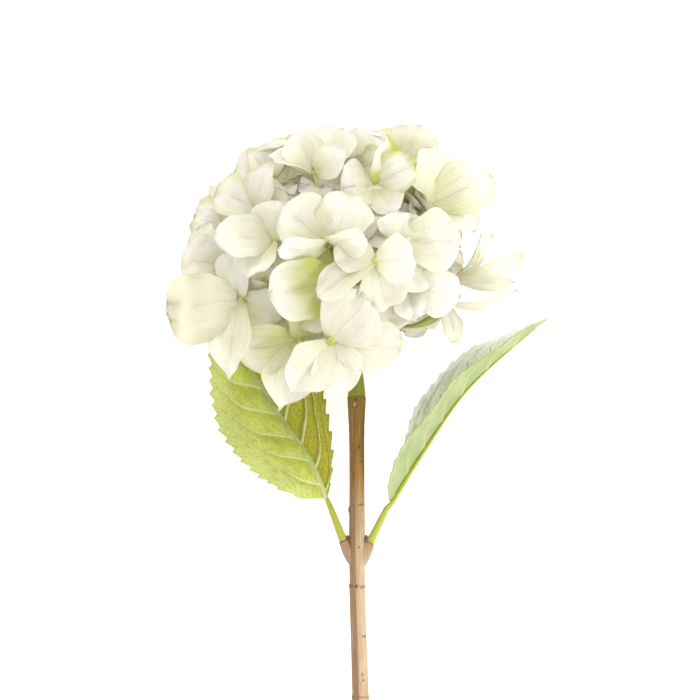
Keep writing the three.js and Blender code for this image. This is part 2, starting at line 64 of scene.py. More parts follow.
# Florets that are seen: the eye, how far it stands out, how far it turns to the front, and each sepal's tip,
# half width and roll, much as in the solids. Then how much lime green each sepal carries, at its base or where
# a word says, how pointed it is, and how grey: a grey of 2 is painted shade, put on the big sepal low on the left
# that lies in shade. Rows under "drawn" are shapes of single sepals that are drawn in place of the settled ones.
SEEN_FLORETS = [
    dict(eye=(-0.5, 9.5), out=0, eye_green=0.8, bud=1,
        sepals=[(-24, 27, 2, 13.5, 0), (12, 34, -2, 13.5, 8), (17, 14.5, 20, 11.5, 0), (-24, 2, 13, 12, 0)],
        drawn={0: (-24, 27, 5, 14, 0), 2: (16, 15, 18, 9, 48), 3: (-26, 7.5, 14, 9, -52)},
        tints=[(0.2, "veins"), (0.25, "rim"), 0.25, 0.3],
        points=(0, 0.2, 0.3, 0)),
    dict(eye=(4, -7), out=-8,
        sepals=[(-29, -17, 8, 15.5, -15), (-27, 8, -3, 12, 15), (22, -12, -8, 12, 0), (4, -33, -6, 13, 0)],
        tints=[1.35, 1.0, 0.6, 0.5],
        points=(0, 0.4, 0.2, 0.3)),
    dict(eye=(22, 1), out=5,
        sepals=[(-6, -17, 5, 8.5, 35), (42, 1, -4, 12.5, -10), (10, 15, 8, 10, 15), (28, -23, -12, 12, 0)],
        drawn={2: (2, 7, 2, 10, 10)},
        tints=[0.2, 0.1, 0.2, 0.2]),
    dict(eye=(35, 10), out=-3,
        sepals=[(15, 17, 2, 11, 20), (37, 25, 2, 13, 0), (64, 11, -6, 14.5, 0), (50, -12, -2, 14, 0)],
        tints=[0.2, 0.2, 0.25, 0.15]),
    dict(eye=(49, 29), out=3,
        sepals=[(55, 57.5, -4, 14.5, 0), (81, 42, -8, 13, 0), (73, 17, 2, 12, 0), (36, 46, 8, 10, 30)],
        tints=[(0.3, "veins"), (0.5, "veins"), (0.3, "veins"), (0.4, "veins")],
        points=(0.4, 0, 0.2, 0.6)),
    dict(eye=(23, 39), out=0,
        sepals=[(28.5, 64, 6, 8, 28), (43, 50, 8, 10.5, 20), (31, 24, 12, 9.5, 10), (6, 37, 6, 11.5, 0)],
        tints=[(1.4, "half"), (1.0, "rim"), 0.4, 0.3],
        points=(1, 0.5, 0.8, 0)),
    dict(eye=(36, 51), out=-4,
        sepals=[(46.5, 69.5, 4, 12, 0), (55, 58, -4, 12, 0), (22, 68, 0, 10, 20), (48, 38, 4, 11, 0)],
        tints=[0.15, 0.25, (0.6, "half"), (0.3, "veins")],
        points=(0.6, 0, 0.5, 0.2)),
    dict(eye=(14, 47), out=-4,
        sepals=[(12, 68, 2, 9, 0), (26, 63, -6, 11, 10), (30, 51, 8, 9, 30), (-3, 33, 10, 12, 0)],
        tints=[0.15, (0.2, "rim"), (0.6, "rim"), 0.2],
        points=(0.8, 0, 0.6, 0.2)),
    dict(eye=(-8, 45), out=0,
        sepals=[(-30, 53, 4, 8.5, 30), (-17, 66, -3, 10, 0), (6, 67.5, -6, 13, 0), (8, 55, 13, 8, 35)],
        tints=[0.3, 0.2, 0.15, 0.2],
        points=(0.8, 0.9, 0, 0.7)),
    dict(eye=(-30, 43), out=-1,
        sepals=[(-41, 57, 0, 8, 25), (-24, 63, -4, 10, 0), (-47, 45, 2, 12, 0), (-18, 30, 8, 12, 0)],
        drawn={3: (-20, 32, 3, 12, 0)},
        tints=[(0.4, "rim"), (0.4, "rim"), (0.35, "rim"), 0.3],
        points=(1, 0.9, 0.3, 0.4)),
    dict(eye=(-37, 27), out=-2,
        sepals=[(-29.5, 50.5, 6, 9, 0), (-56, 37, 0, 11.5, 10), (-18, 31, 8, 11, 10), (-44, 3, 2, 12, 15)],
        drawn={2: (-20, 31, 3, 11, 10)},
        tints=[(0.5, "rim"), (0.35, "rim"), 0.9, 0.4],
        points=(1, 0.2, 0.2, 0.3)),
    dict(eye=(-53, 20), out=-5,
        sepals=[(-68.5, 22, -3, 12, 0), (-62, 3, 0, 11, 20), (-43, 35, 2, 11, 15), (-59, 38, -9, 11, 0)],
        tints=[(0.7, "rim"), 0.3, (0.4, "rim"), (0.3, "rim")],
        points=(0, 0.5, 0.4, 0.8)),
    dict(eye=(-54, -1), out=-8,
        sepals=[(-73, 4, 0, 12.5, 0), (-46, -24, 4, 11, 0), (-36, 8, 2, 11, 0), (-66, 18, -6, 11, 0)],
        tints=[(0.2, "rim"), 0.3, 0.3, (0.3, "rim")]),
    dict(eye=(-28, 11), out=0,
        sepals=[(-38, -8, 10, 11, 25), (-57, 13, 4, 11.5, 10), (-24, 30, 2, 11, 0), (-9, 2, 2, 12, 0)],
        drawn={3: (-12, 1, -6, 11, 0)},
        tints=[0.3, 0.15, 0.4, 0.4]),
    # the first sepal here is greyed with painted shade
    dict(eye=(-44, -17.5), out=0, turned=0.6,
        sepals=[(-81, -22, -4, 17, 0), (-50, -57, 2, 11.5, 15), (-48, 6, 6, 9.5, -20), (-24, -27, 2, 11, 0)],
        tints=[(0.15, "rim"), (0.35, "veins"), 0.2, 0.4],
        points=(0, 1, 0.3, 0.4), tones_and_shade=(2, None, None, None)),
    dict(eye=(-15, -38.5), out=0, turned=0.6,
        sepals=[(-46, -43, 0, 12, 0), (-26, -72.5, -4, 12.5, 0), (-11, -15, 3, 11, 30), (4, -60, -13, 12, 0)],
        tints=[(1.0, "veins"), (0.4, "veins"), 0.6, 0.5],
        points=(0.3, 1, 0.2, 0.5)),
    dict(eye=(0.5, -38.5), out=6, turned=0.8, bud=1,
        sepals=[(19, -17, 4, 15, 0), (34.5, -43, -4, 13, 0), (7, -64.5, -4, 12.5, 0), (-18, -64, 0, 12, 0)],
        tints=[0.05, (0.2, "veins"), 0.1, (0.15, "veins")],
        points=(0, 0.1, 0.8, 0.7)),
    dict(eye=(38, -10), out=0,
        sepals=[(43, -28, 4, 9, 15), (24, -32, -2, 11, 20), (64, -19, 0, 11, 0), (46, 14, 2, 12, 0)],
        tints=[0.2, 0.25, 0.15, 0.2]),
    dict(eye=(62, -7), out=4,
        sepals=[(80.5, 15.5, 6, 6.5, 20), (92, -8, 4, 5.5, 30), (96, 5, -10, 6, 12), (75, 14, -8, 5.5, 25)],
        tints=[(0.35, "rim"), (0.3, "rim"), (0.5, "rim"), (0.3, "rim")]),
    dict(eye=(57, -20), out=8,
        sepals=[(92, -12.5, 4, 5.5, 25), (62, -40, 8, 5, 30), (48, -2, 8, 10, 0), (41, -26, 0, 9, 0)],
        tints=[(0.3, "rim"), (0.5, "rim"), 0.2, 0.2]),
]
# The floret pressed flat under the head: its eye on the surface, and its sepals' length and half width
RESTING_EYE = Vector((1.5, -16, 0))
RESTING_LENGTH, RESTING_HALF = 30, 13

# Florets by rule on the sides that the photo doesn't show: how many directions are tried, the least room to
# another eye and to the left leaf, the sepals' length, half width and rise, and how far out each layer stands
LATTICE, NEIGHBOUR, LEAF_ROOM = 66, 15.5, 9
RULE_LENGTH, RULE_HALF, RULE_CUP = 31, 0.47, 0.2
LAYERS = (1.05, 0.93)
# How far their tips may reach, and where the soft sepals begin to be drawn in
SEPALS_REACH, DRAWN_REACH = (70, 66), (66, 61, 76)
# The way to the bare side low on the right, and how far that way their eyes and tips may stand
BARE_SIDE, BARE_FROM, BARE_REACH = Vector((0.75, -0.66, 0)), 46, 50
# How far to the front and how low they may stand, as shares
SIDE, FOOT = 0.2, -0.86
# Moves of a floret and of a tip that are tried in turn, until the sepals pass clear of each other
SHIFTS, RISES = (0, 4, -4, 8, -8), (0, 3, -3, 6, -6)
# Places on a sepal for that trial, as shares of its length and half width, and their least height
SEPAL_EDGE, SEPAL_MIDDLE = ((0.58, 1), (0.97, 0.52), (0.97, -0.52), (0.58, -1)), (0.6, 0)
ABOVE = 0.85
# Smaller florets deeper in the head: how many places there are for them round it, how far out they stand and
# how large their sepals are as shares, how far the tips dip, and where there are none
DEEP_PLACES, DEEP_LAYER, DEEP_SEPAL, DEEP_DIP = 64, 0.78, 0.85, 4
DEEP_SIDE, DEEP_FOOT, DEEP_BARE_FROM = 0.85, -0.6, 26
# Florets that only show in the gaps between those in front. Their even lime is partly young florets' green and
# partly painted yellow-green shade of the gaps.
GAP_FLORETS = [
    dict(eye=(-5, 38), out=-13, turned=0.6, tints=[0.4] * 4,
        sepals=[(-25, 42, -10, 12, 0), (-8, 52, -18, 12, 0), (14, 44, -10, 12, 0), (-2, 20, 8, 12, 0)]),
    dict(eye=(42, 31), out=-13, turned=0.6, tints=[0.5] * 4,
        sepals=[(26, 42, 0, 12, 0), (52, 44, -14, 12, 0), (60, 20, -16, 12, 0), (36, 12, 14, 12, 0)]),
]
RAYS, RAY_REACH = 9, (26, 22, 22)
# Stalks that show low on the right, from the head's middle: places with radii
SHOWN_STALKS = [
    [
        ((34, -31.5, 17), 0.8), ((42, -31, 19), 1.1), ((50, -28, 19), 2.1),
        ((56, -22.5, 17), 2.3), ((58, -19, 15), 1.4),
    ],
    [((42, -26, 21), 0.5), ((48, -25, 21), 0.6), ((54, -22, 19), 0.8), ((57, -18, 15), 0.8)],
]
GOLDEN_TURN = pi * (3 - sqrt(5))
RULED_SEED, DEEP_SEED, SOFT_SEED = 203, 515, 7001

# Where a petiole leaves its base on the stem, the way it goes, and where in the stem the base starts
PETIOLES = {
    "leaf_left": (Vector((-6.6, 2, 0)), Vector((-0.407, 0.913, 0)), Vector((-0.8, -11, 0))),
    "leaf_right": (Vector((6.2, 1, 0)), Vector((0.45, 0.893, 0)), Vector((0.8, -12, 0))),
}
# Half widths of a blade at shares of its length
EVEN_WIDTHS = [
    (0, 0.6), (0.05, 10), (0.14, 20), (0.26, 27), (0.4, 29),
    (0.55, 27), (0.7, 20), (0.84, 11), (0.93, 5.5), (1, 0.8),
]
FAR_WIDTHS = [
    (0, 0.6), (0.05, 9), (0.14, 17), (0.26, 24), (0.4, 28.5),
    (0.55, 29.5), (0.7, 24.5), (0.84, 14.5), (0.93, 6.5), (1, 0.8),
]
# The leaves: the midrib, the way the blade faces, and for each half how far it is folded up and its widths, how
# much painted sheen it has (whitish colour standing for the light it reflects), how much further it is folded at
# the base and how much painted shade it has (darker olive for a half turned from the light). A rib is the radius
# of the midrib's bar.
LEAVES = {
    "leaf_left": dict(
        midrib=[(-15, 23.3, -4), (-22.9, 41.8, -10), (-41.1, 68.1, -25), (-57, 94, -38), (-72.5, 120, -44)],
        facing=Vector((0.1, 0.3, 1)),
        halves=[
            (4, [(0, 0.6), (0.03, 12), (0.1, 21), (0.2, 26), (0.35, 30),
                 (0.5, 29.5), (0.65, 24), (0.82, 14), (0.93, 6.5), (1, 0.8)]),
            (36, [(0, 0.6), (0.06, 5), (0.15, 11), (0.25, 19), (0.38, 27),
                  (0.52, 30), (0.66, 26), (0.82, 15), (0.93, 7), (1, 0.8)]),
        ],
        painted_sheen=(0, 0),
        opening=(0, 0),
        rib=1.1,
        shaded_half=(0, 1),
    ),
    "leaf_right": dict(
        midrib=[(16.6, 21.8, 0), (31.3, 45.2, 0), (54.1, 77.3, 0), (82.2, 102.8, -1), (95, 112.8, -3)],
        facing=Vector((-0.76, 0.65, 0)),
        halves=[(29, FAR_WIDTHS), (16, EVEN_WIDTHS)],
        painted_sheen=(1, 0),
        opening=(-10, 14),
        rib=1.15,
        shaded_half=(0, 0),
    ),
}
TEETH, TOOTH = 18, 2.1 # a side, and how far they stand out
# The bark: heights, how far it leans sideways there, and its radius
BARK = [
    (STEM_TOP, -0.2, 4.6), (71, -0.2, 4.5), (66, -0.2, 4.2), (58, -0.2, 3.9), (48, -0.1, 3.75), (30, 0, 3.75),
    (20, 0, 3.85), (8, 0, 3.9), (-6, 0, 4.2), (-13, 0.1, 3.8), (-18.5, 0.1, 3.75), (-20.5, 0.1, 4.15),
    (-22.5, 0.1, 3.85), (-45, 0.8, 3.9), (-74, 1.7, 4.0), (-76, 1.75, 4.35), (-78, 1.8, 4.05),
    (-110, 2.6, 4.1), (-128, 2.9, 4.1), (-130, 2.9, 4.45), (-132, 2.95, END_RADIUS),
    (STEM_END - 6, 3.1, END_RADIUS),
]
# Marks on the bark: height, place across the front, length up the stem, width, how far they stand out, and how
# green and how dark they are
SCARS = [
    (70.3, -0.8, 1.3, 1.0, 0.22, 1, 0.9),
    (73, -0.6, 0.5, 1.3, -0.15, 0, 0.8),
    (49, 1.2, 1.3, 0.7, -0.1, 0, 0.75),
    (41.5, 1.8, 0.6, 1.0, -0.12, 0, 0.6),
    (35, -1.9, 2.4, 0.6, -0.08, 0, 0.45),
    (20.3, 2.2, 0.5, 1.5, -0.25, 0, 0.9),
    (17.5, -3.7, 1.2, 1.0, 0.5, 0, 0.6),
    (-1, 0.8, 0.6, 0.8, -0.15, 0, 0.7),
    (-20.4, -3.2, 0.8, 0.6, -0.2, 0, 0.9),
    (-20.6, -0.4, 0.9, 0.8, -0.25, 0, 1),
    (-21, 2.2, 0.7, 1.2, -0.2, 0.5, 0.7),
    (-45.6, 3.2, 0.5, 1.4, -0.25, 0, 0.8),
    (-54.5, -2.6, 1.0, 0.7, 0.35, 0, 0.4),
    (-64.5, 1.2, 1.2, 0.6, -0.12, 0, 0.6),
    (-67.5, 1.6, 0.7, 0.6, -0.12, 0, 0.6),
    (-98, -2.0, 1.0, 0.8, 0.3, 0, 0.5),
    (-114, 1.5, 0.7, 1.2, -0.2, 0, 0.6),
]
# Rings where older leaves stood: height, and how far up and down they darken the bark
RINGS = [(-20.7, 0.9), (-76, 1.0), (-130, 1.0)]
LEAF_PAIRS = 7.5 # pairs of side veins, near enough


class Draw:
    """Random draws that come out the same on every run, and by the same rule as the solids' draws."""

    def __init__(self, seed):
        self.state = seed

    def between(self, low, high):
        self.state = (self.state * 16807) % 2147483647
        return low + (high - low) * self.state / 2147483647


def ramp(low, high, x):
    """0 below low, 1 above high, and smooth between."""
    t = min(1, max(0, (x - low) / (high - low)))
    return t * t * (3 - 2 * t)


def turns(count):
    """Evenly spread angles of a full turn, each with its number."""
    return [(k, 2 * pi * k / count) for k in range(count)]


def height_of(p):
    """How high a place lies above the surface."""
    return p.dot(UP) + NODE_AT.z


def lifted(p, least):
    """A place raised, where it needs it, to a least height above the surface."""
    return p + UP * max(0, least - height_of(p))


class Line:
    """A smooth line through points, read by the share of its length."""

    def __init__(self, points, steps=200):
        points = [Vector(p) for p in points]
        ends = [points[0] * 2 - points[1], *points, points[-1] * 2 - points[-2]]
        self.places = []
        for i in range(len(points) - 1):
            a, b, c, d = ends[i : i + 4]
            ta = (b - a).length ** 0.5
            tb = ta + (c - b).length ** 0.5
            td = tb + (d - c).length ** 0.5
            for k in range(steps):
                t = ta + (tb - ta) * k / steps
                p, q = a.lerp(b, t / ta), b.lerp(c, (t - ta) / (tb - ta))
                r = c.lerp(d, (t - tb) / (td - tb))
                r = q.lerp(r, (t - ta) / (td - ta))
                self.places.append(p.lerp(q, t / tb).lerp(r, (t - ta) / (tb - ta)))
        self.places.append(points[-1])
        self.lengths = [0]
        for a, b in zip(self.places, self.places[1:]):
            self.lengths.append(self.lengths[-1] + (b - a).length)
        self.length = self.lengths[-1]

    def at(self, share):
        goal = min(max(share, 0), 1) * self.length
        low, high = 0, len(self.lengths) - 1
        while high - low > 1:
            mid = (low + high) // 2
            low, high = (mid, high) if self.lengths[mid] <= goal else (low, mid)
        span = self.lengths[high] - self.lengths[low]
        return self.places[low].lerp(self.places[high], (goal - self.lengths[low]) / span if span else 0)

    def along(self, share):
        return (self.at(min(share + 0.004, 1)) - self.at(max(share - 0.004, 0))).normalized()


# Meshes


def placed(name, data):
    made = bpy.data.objects.new(name, data)
    bpy.context.scene.collection.objects.link(made)
    return made


class Sheets:
    """Collects points and faces, and each point's place on its blade and three shares that the finish reads."""

    def __init__(self):
        self.points, self.faces, self.places, self.shares = [], [], [], []

    def add(self, point, place, shares):
        self.points.append(point)
        self.places.append(place)
        self.shares.append(shares)
        return len(self.points) - 1

    def shell(self, grid, towards, thick):
        """A thin closed blade about a grid of points. Each comes with its place, its shares above and below, and how
        far a rib stands out below."""
        up, low = [], []
        for row, ways in zip(grid, grid_normals([[point[0] for point in row] for row in grid], towards)):
            up.append([])
            low.append([])
            for (p, place, shares, under, rib), n in zip(row, ways):
                up[-1].append(self.add(p + n * thick / 2, place, shares))
                low[-1].append(self.add(p - n * (thick / 2 + rib), place, under))
        tall, wide = len(up), len(up[0])
        for i in range(tall - 1):
            for k in range(wide - 1):
                self.faces.append((up[i][k], up[i][k + 1], up[i + 1][k + 1], up[i + 1][k]))
                self.faces.append((low[i][k], low[i + 1][k], low[i + 1][k + 1], low[i][k + 1]))
        rim = [(0, k) for k in range(wide)] + [(i, wide - 1) for i in range(1, tall)]
        rim += [(tall - 1, k) for k in range(wide - 2, -1, -1)] + [(i, 0) for i in range(tall - 2, 0, -1)]
        for (i, k), (m, n) in zip(rim, rim[1:] + rim[:1]):
            self.faces.append((up[i][k], low[i][k], low[m][n], up[m][n]))

    def join(self, rings, inward=False):
        """Faces from ring to ring, seen from outside or, where they run inward, from their ends."""
        for a, b in zip(rings, rings[1:]):
            for k in range(len(a)):
                m = (k + 1) % len(a)
                self.faces.append((a[k], b[k], b[m], a[m]) if inward else (a[k], a[m], b[m], b[k]))

    def close(self, rings):
        """Joins rings and closes both ends."""
        self.join(rings)
        self.faces += [tuple(reversed(rings[0])), tuple(rings[-1])]

    def tube(self, stations, sides, shares):
        """A closed round bar through (point, radius) stations."""
        rings, side, travelled = [], None, 0
        for i, (p, radius) in enumerate(stations):
            before, after = stations[max(i - 1, 0)][0], stations[min(i + 1, len(stations) - 1)][0]
            along = (after - before).normalized()
            if side is None:
                side = along.orthogonal()
            side = (side - along * side.dot(along)).normalized()
            across = along.cross(side)
            travelled += (p - before).length
            rings.append([])
            for k, a in turns(sides):
                out = side * radius * cos(a) + across * radius * sin(a)
                rings[-1].append(self.add(p + out, (k / sides, travelled), shares))
        self.close(rings)

    def piece(self, name, material, *nodes):
        """The Blender object, laid down on the surface. It stands for the named solids."""
        mesh = bpy.data.meshes.new(name)
        mesh.from_pydata([LAID @ p for p in self.points], [], self.faces)
        uv = mesh.uv_layers.new(name="blade")
        for loop in mesh.loops:
            uv.data[loop.index].uv = self.places[loop.vertex_index]
        shares = mesh.color_attributes.new("shares", "FLOAT_COLOR", "POINT")
        for i, share in enumerate(self.shares):
            shares.data[i].color = (*share, 1)
        mesh.shade_smooth()
        mesh.materials.append(material)
        piece = placed(name, mesh)
        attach(piece, "root")
        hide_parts(*nodes)
        return piece


# Florets


def round_place(across, up, reach):
    room = 1 - (across / reach.x) ** 2 - (up / reach.y) ** 2
    return Vector((across, up, reach.z * sqrt(max(0, room))))


def outward_at(p):
    reach = FRONT_REACH if p.z > 0 else BACK_REACH
    return Vector([p[i] / reach[i] ** 2 for i in range(3)]).normalized()


def seen_floret(eye, out, sepals, tints, points=(0.3,) * 4, tones_and_shade=(None,) * 4, turned=0.4, **looks):
    on_form = round_place(*eye, FRONT_REACH)
    facing = outward_at(on_form).lerp(Vector((0, 0, 1)), turned).normalized()
    middle = on_form + Vector((0, 0, out))
    made = [
        dict(tip=Vector((x, y, middle.z + z)) + HEAD, half=half, roll=radians(roll), bow=0.1, cup=0.22,
             tint=tint, point=point, tone=tone)
        for (x, y, z, half, roll), tint, point, tone in zip(sepals, tints, points, tones_and_shade)
    ]
    return dict(eye=middle + HEAD, facing=facing, sepals=made, **looks)


def within(p):
    """A place given from the head's middle, drawn in to the outline that the sepals by rule keep to."""
    past = max(1, hypot(p.x / SEPALS_REACH[0], p.y / SEPALS_REACH[1]), p.dot(BARE_SIDE) / BARE_REACH)
    return Vector((p.x / past, p.y / past, p.z))


def ruled_floret(direction, layer, draw):
    reach = FRONT_REACH if direction.z > 0 else BACK_REACH
    swell = layer + draw.between(-0.02, 0.02)
    eye = Vector([direction[i] * reach[i] for i in range(3)]) * swell
    facing = outward_at(eye)
    first = Vector((0, 0, 1)).cross(facing).normalized()
    spin = draw.between(0, pi / 2)
    sepals = []
    for k in range(4):
        way = Matrix.Rotation(spin + k * pi / 2 + draw.between(-0.03, 0.03), 3, facing) @ first
        rise = RULE_CUP + draw.between(-0.1, 0.1)
        along = way * cos(rise) + facing * sin(rise)
        tip = within(eye + along * RULE_LENGTH * draw.between(0.88, 1.12))
        half = (tip - eye).length * RULE_HALF * draw.between(0.94, 1.06)
        roll = draw.between(-0.3, 0.3)
        sepals.append(dict(tip=tip + HEAD, half=half, roll=roll, bow=0.1, cup=0.2))
    return dict(eye=eye + HEAD, facing=facing, sepals=sepals, ruled=True)


def resting_floret():
    upright = Matrix.Rotation(-LEAN, 3, "X")
    eye = lifted(upright @ (RESTING_EYE - NODE_AT), SEPAL_THICK / 2)
    sepals = []
    for k in range(4):
        way = Matrix.Rotation(k * pi / 2, 3, "Z") @ Vector((0, RESTING_LENGTH, 0))
        sepals.append(dict(tip=eye + upright @ way, half=RESTING_HALF, roll=0, bow=0, cup=0))
    return dict(eye=eye, facing=-UP, sepals=sepals, resting=True)


def sepal_axes(floret, sepal):
    """A sepal's length, the way it points, its face and the way across it."""
    along = sepal["tip"] - floret["eye"]
    length = along.length
    along.normalize()
    face = floret["facing"] - along * floret["facing"].dot(along)
    face = Matrix.Rotation(sepal["roll"], 3, along) @ face.normalized()
    return length, along, face, along.cross(face)


def fan_of(floret, sepal):
    """A sepal as five flat triangles about its middle, with how far they reach."""
    length, along, face, across = sepal_axes(floret, sepal)
    half = sepal["half"]
    points = []
    for s, out in ((0.6 / length, 0), *SEPAL_EDGE, SEPAL_MIDDLE):
        rise = sepal["bow"] * length * sin(pi * s) + sepal["cup"] * half * out * out
        place = floret["eye"] + along * (length * s) + across * (half * out) + face * rise
        points.append(lifted(place, ABOVE))
    return points, max((p - points[5]).length for p in points)


def pierces(edges_of, faces_of):
    """How many times the edges of one fan pass through the triangles of the other."""
    hits = 0
    middle = edges_of[5]
    for i in range(5):
        for start, end in ((middle, edges_of[i]), (edges_of[i], edges_of[(i + 1) % 5])):
            way = end - start
            for k in range(5):
                corners = faces_of[5], faces_of[k], faces_of[(k + 1) % 5]
                at = geometry.intersect_ray_tri(*corners, way, start, True)
                if at and (at - start).dot(way) >= 0 and (at - start).length <= way.length:
                    hits += 1
    return hits


def crossings(fan, others):
    """How many times a fan and others near it pass through each other."""
    points, reach = fan
    hits = 0
    for other, other_reach in others:
        if (points[5] - other[5]).length <= reach + other_reach:
            hits += pierces(points, other) + pierces(other, points)
    return hits


def settle(florets):
    """Moves each floret out or in, and its sepals' tips up or down, to pass clear of those before it."""
    settled = []
    for floret in florets:
        if floret.get("resting"):
            continue
        eye = floret["eye"]
        way = floret["facing"] if floret.get("ruled") else Vector((0, 0, 1))
        tips = [sepal["tip"] for sepal in floret["sepals"]]
        best = None
        for shift in SHIFTS:
            floret["eye"] = eye + way * shift
            fans, chosen_tips, hits = [], [], 0
            for sepal, tip in zip(floret["sepals"], tips):
                fewest = None
                for rise in RISES:
                    moved = tip + way * (shift + rise)
                    if floret.get("ruled"):
                        moved = within(moved - HEAD) + HEAD
                    fan = fan_of(floret, dict(sepal, tip=moved))
                    count = crossings(fan, settled + fans)
                    if fewest is None or count < fewest[0]:
                        fewest = count, moved, fan
                    if not fewest[0]:
                        break
                hits += fewest[0]
                chosen_tips.append(fewest[1])
                fans.append(fewest[2])
            if best is None or hits < best[0]:
                best = hits, floret["eye"], chosen_tips, fans
            if not best[0]:
                break
        floret["eye"] = best[1]
        for sepal, tip in zip(floret["sepals"], best[2]):
            sepal["tip"] = tip
        settled += best[3]


def spread(number, count, start=0.0):
    """One of a count of directions that are spread evenly round the head."""
    level = 1 - (2 * number + 1) / count
    turn, ring = number * GOLDEN_TURN + start, sqrt(1 - level * level)
    return Vector((ring * cos(turn), level, ring * sin(turn)))


def deep_florets():
    """Smaller florets deeper in the head, which show between the others."""
    draw = Draw(DEEP_SEED)
    florets = [seen_floret(**row) for row in GAP_FLORETS]
    for i in range(DEEP_PLACES):
        direction = spread(i, DEEP_PLACES, 0.9)
        floret = ruled_floret(direction, DEEP_LAYER, draw)
        low = (floret["eye"] - HEAD).dot(BARE_SIDE)
        for sepal in floret["sepals"]:
            sepal["tip"] = floret["eye"].lerp(sepal["tip"], DEEP_SEPAL) - floret["facing"] * DEEP_DIP
            sepal["half"] *= DEEP_SEPAL
            # lime: young florets' green, and painted yellow-green shade of the gaps they fill
            sepal["tint"] = draw.between(0.35, 0.8)
            sepal["tone"] = 0
        if direction.y > DEEP_FOOT and direction.z < DEEP_SIDE and low < DEEP_BARE_FROM:
            florets.append(floret)
    return florets


def all_florets():
    draw = Draw(RULED_SEED)
    florets = [resting_floret(), *(seen_floret(**row) for row in SEEN_FLORETS)]
    shape = LEAVES["leaf_left"]
    line = Line(shape["midrib"])
    shares = [s / 10 for s in range(3, 11)]
    leaf_places = [
        blade_place(shape, line, s, half, out)[0] for s in shares for out in (0, 0.5, 1) for half in (0, 1)
    ]
    for i in range(LATTICE):
        direction = spread(i, LATTICE)
        floret = ruled_floret(direction, LAYERS[i % 2], draw)
        eye = floret["eye"]
        reached = [p for sepal in floret["sepals"] for p in (sepal["tip"], sepal["tip"].lerp(eye, 0.5))]
        nearest = min((other["eye"] - eye).length for other in florets)
        off_leaf = min((p - q).length for p in reached for q in leaf_places)
        hidden = direction.z < SIDE and direction.y > FOOT and (eye - HEAD).dot(BARE_SIDE) < BARE_FROM
        if hidden and nearest > NEIGHBOUR and off_leaf > LEAF_ROOM:
            florets.append(floret)
    settle(florets)
    for floret in florets:
        for k, (x, y, z, half, roll) in floret.get("drawn", {}).items():
            tip = Vector((x, y, floret["eye"].z - HEAD.z + z)) + HEAD
            floret["sepals"][k].update(tip=tip, half=half, roll=radians(roll))
    return florets


def sepal_width(s, broad, tip):
    """Half the width at a share of the length, as a share of the widest: a claw, then a broad blade."""
    if s < 0.58:
        return 0.2 + 0.8 * sin(pi / 2 * s / 0.58) ** 0.8
    return max(0, 1 - ((s - 0.58) / 0.42) ** broad) ** (1 / tip)


def tint_share(where, s, o):
    """How far the lime green reaches, by the share of the length and the place across from -1 to 1."""
    if where == "rim":
        return max(ramp(0.55, 1, abs(o)) * ramp(0.1, 0.5, s), ramp(0.8, 1, s))
    if where == "half":
        return max(ramp(-0.1, 0.7, o), ramp(0.5, 0.05, s))
    if where == "other half":
        return max(ramp(0.1, -0.7, o), ramp(0.5, 0.05, s))
    if where == "veins":
        return max(ramp(0.95, 0.25, s), 0.7 * ramp(0.75, 1, abs(o)), 0.7 * ramp(0.85, 1, s))
    return ramp(0.95, 0.25, s)


def add_sepal(sheets, floret, sepal, draw):
    """One sepal, with a ruffle, curl and crease of its own."""
    length, along, face, across = sepal_axes(floret, sepal)
    half, flat = sepal["half"], floret.get("resting", False)
    ruffle, phase, lobes = draw.between(0.06, 0.17), draw.between(0, 6.28), round(draw.between(2.5, 7.4))
    curl, twist, crease = draw.between(-0.06, 0.14), draw.between(-0.16, 0.16), draw.between(0.02, 0.16)
    point, seed = sepal.get("point", draw.between(-0.3, 1)), draw.between(0, 90)
    broad, tip = 3.6 - 2.0 * max(0, point), 1.9 - 0.95 * max(0, point)
    lean = draw.between(-0.12, 0.12)
    tone, chance = draw.between(0, 1), draw.between(0.0, 0.35)
    if sepal.get("tone") is not None:
        tone = sepal["tone"]
    tint = sepal.get("tint", chance)
    amount, where = tint if isinstance(tint, tuple) else (tint, "base")
    streaked = amount if where == "veins" else 0.2 * amount
    tall, wide = 18, 14
    grid = []
    for i in range(tall + 1):
        s = 0.01 + 0.99 * (1 - (1 - i / tall) ** 1.5)
        w = max(0.03, sepal_width(s, broad, tip))
        grid.append([])
        for k in range(wide + 1):
            o = sin(pi / 2 * (2 * k / wide - 1))
            uneven = noise.noise(Vector((1.7 * o, 3.2 * s, seed)))
            crumple = noise.noise(Vector((2.6 * w * o, 3.6 * s, seed + 5)))
            a = w * o * SPREAD * (1 + 0.22 * uneven * abs(o))
            edge = min(1, hypot(a, (s - 0.45) / 0.55))
            rise = (
                sepal["bow"] * length * sin(pi * s)
                + sepal["cup"] * half * a * a
                + ruffle * half * edge**3 * sin(lobes * atan2(a, s - 0.45) + phase)
                + curl * length * max(0, s - 0.55) ** 2 * 2
                + twist * half * a * s
                - crease * half * max(0, 1 - abs(a) * 4) * sin(pi * s)
                + CRUMPLE * half * crumple * s
            )
            reach = s * (1 - 0.06 * a * a) * (1 + 0.07 * uneven * ramp(0.6, 1, s))
            p = floret["eye"] + along * length * reach + across * half * (a + lean * s * s)
            p += face * (0 if flat else rise)
            if floret.get("ruled"):
                off = p - HEAD
                past = max(1, hypot(*(off[axis] / DRAWN_REACH[axis] for axis in range(3))))
                p = HEAD + off / past**0.6
            share = amount * tint_share(where, s, o), tone, streaked
            place = lifted(p, SEPAL_THICK / 2 + (0 if flat else SEPAL_CLEAR))
            grid[-1].append((place, (k / wide, s), share, share, 0))
    sheets.shell(grid, face, SEPAL_THICK)


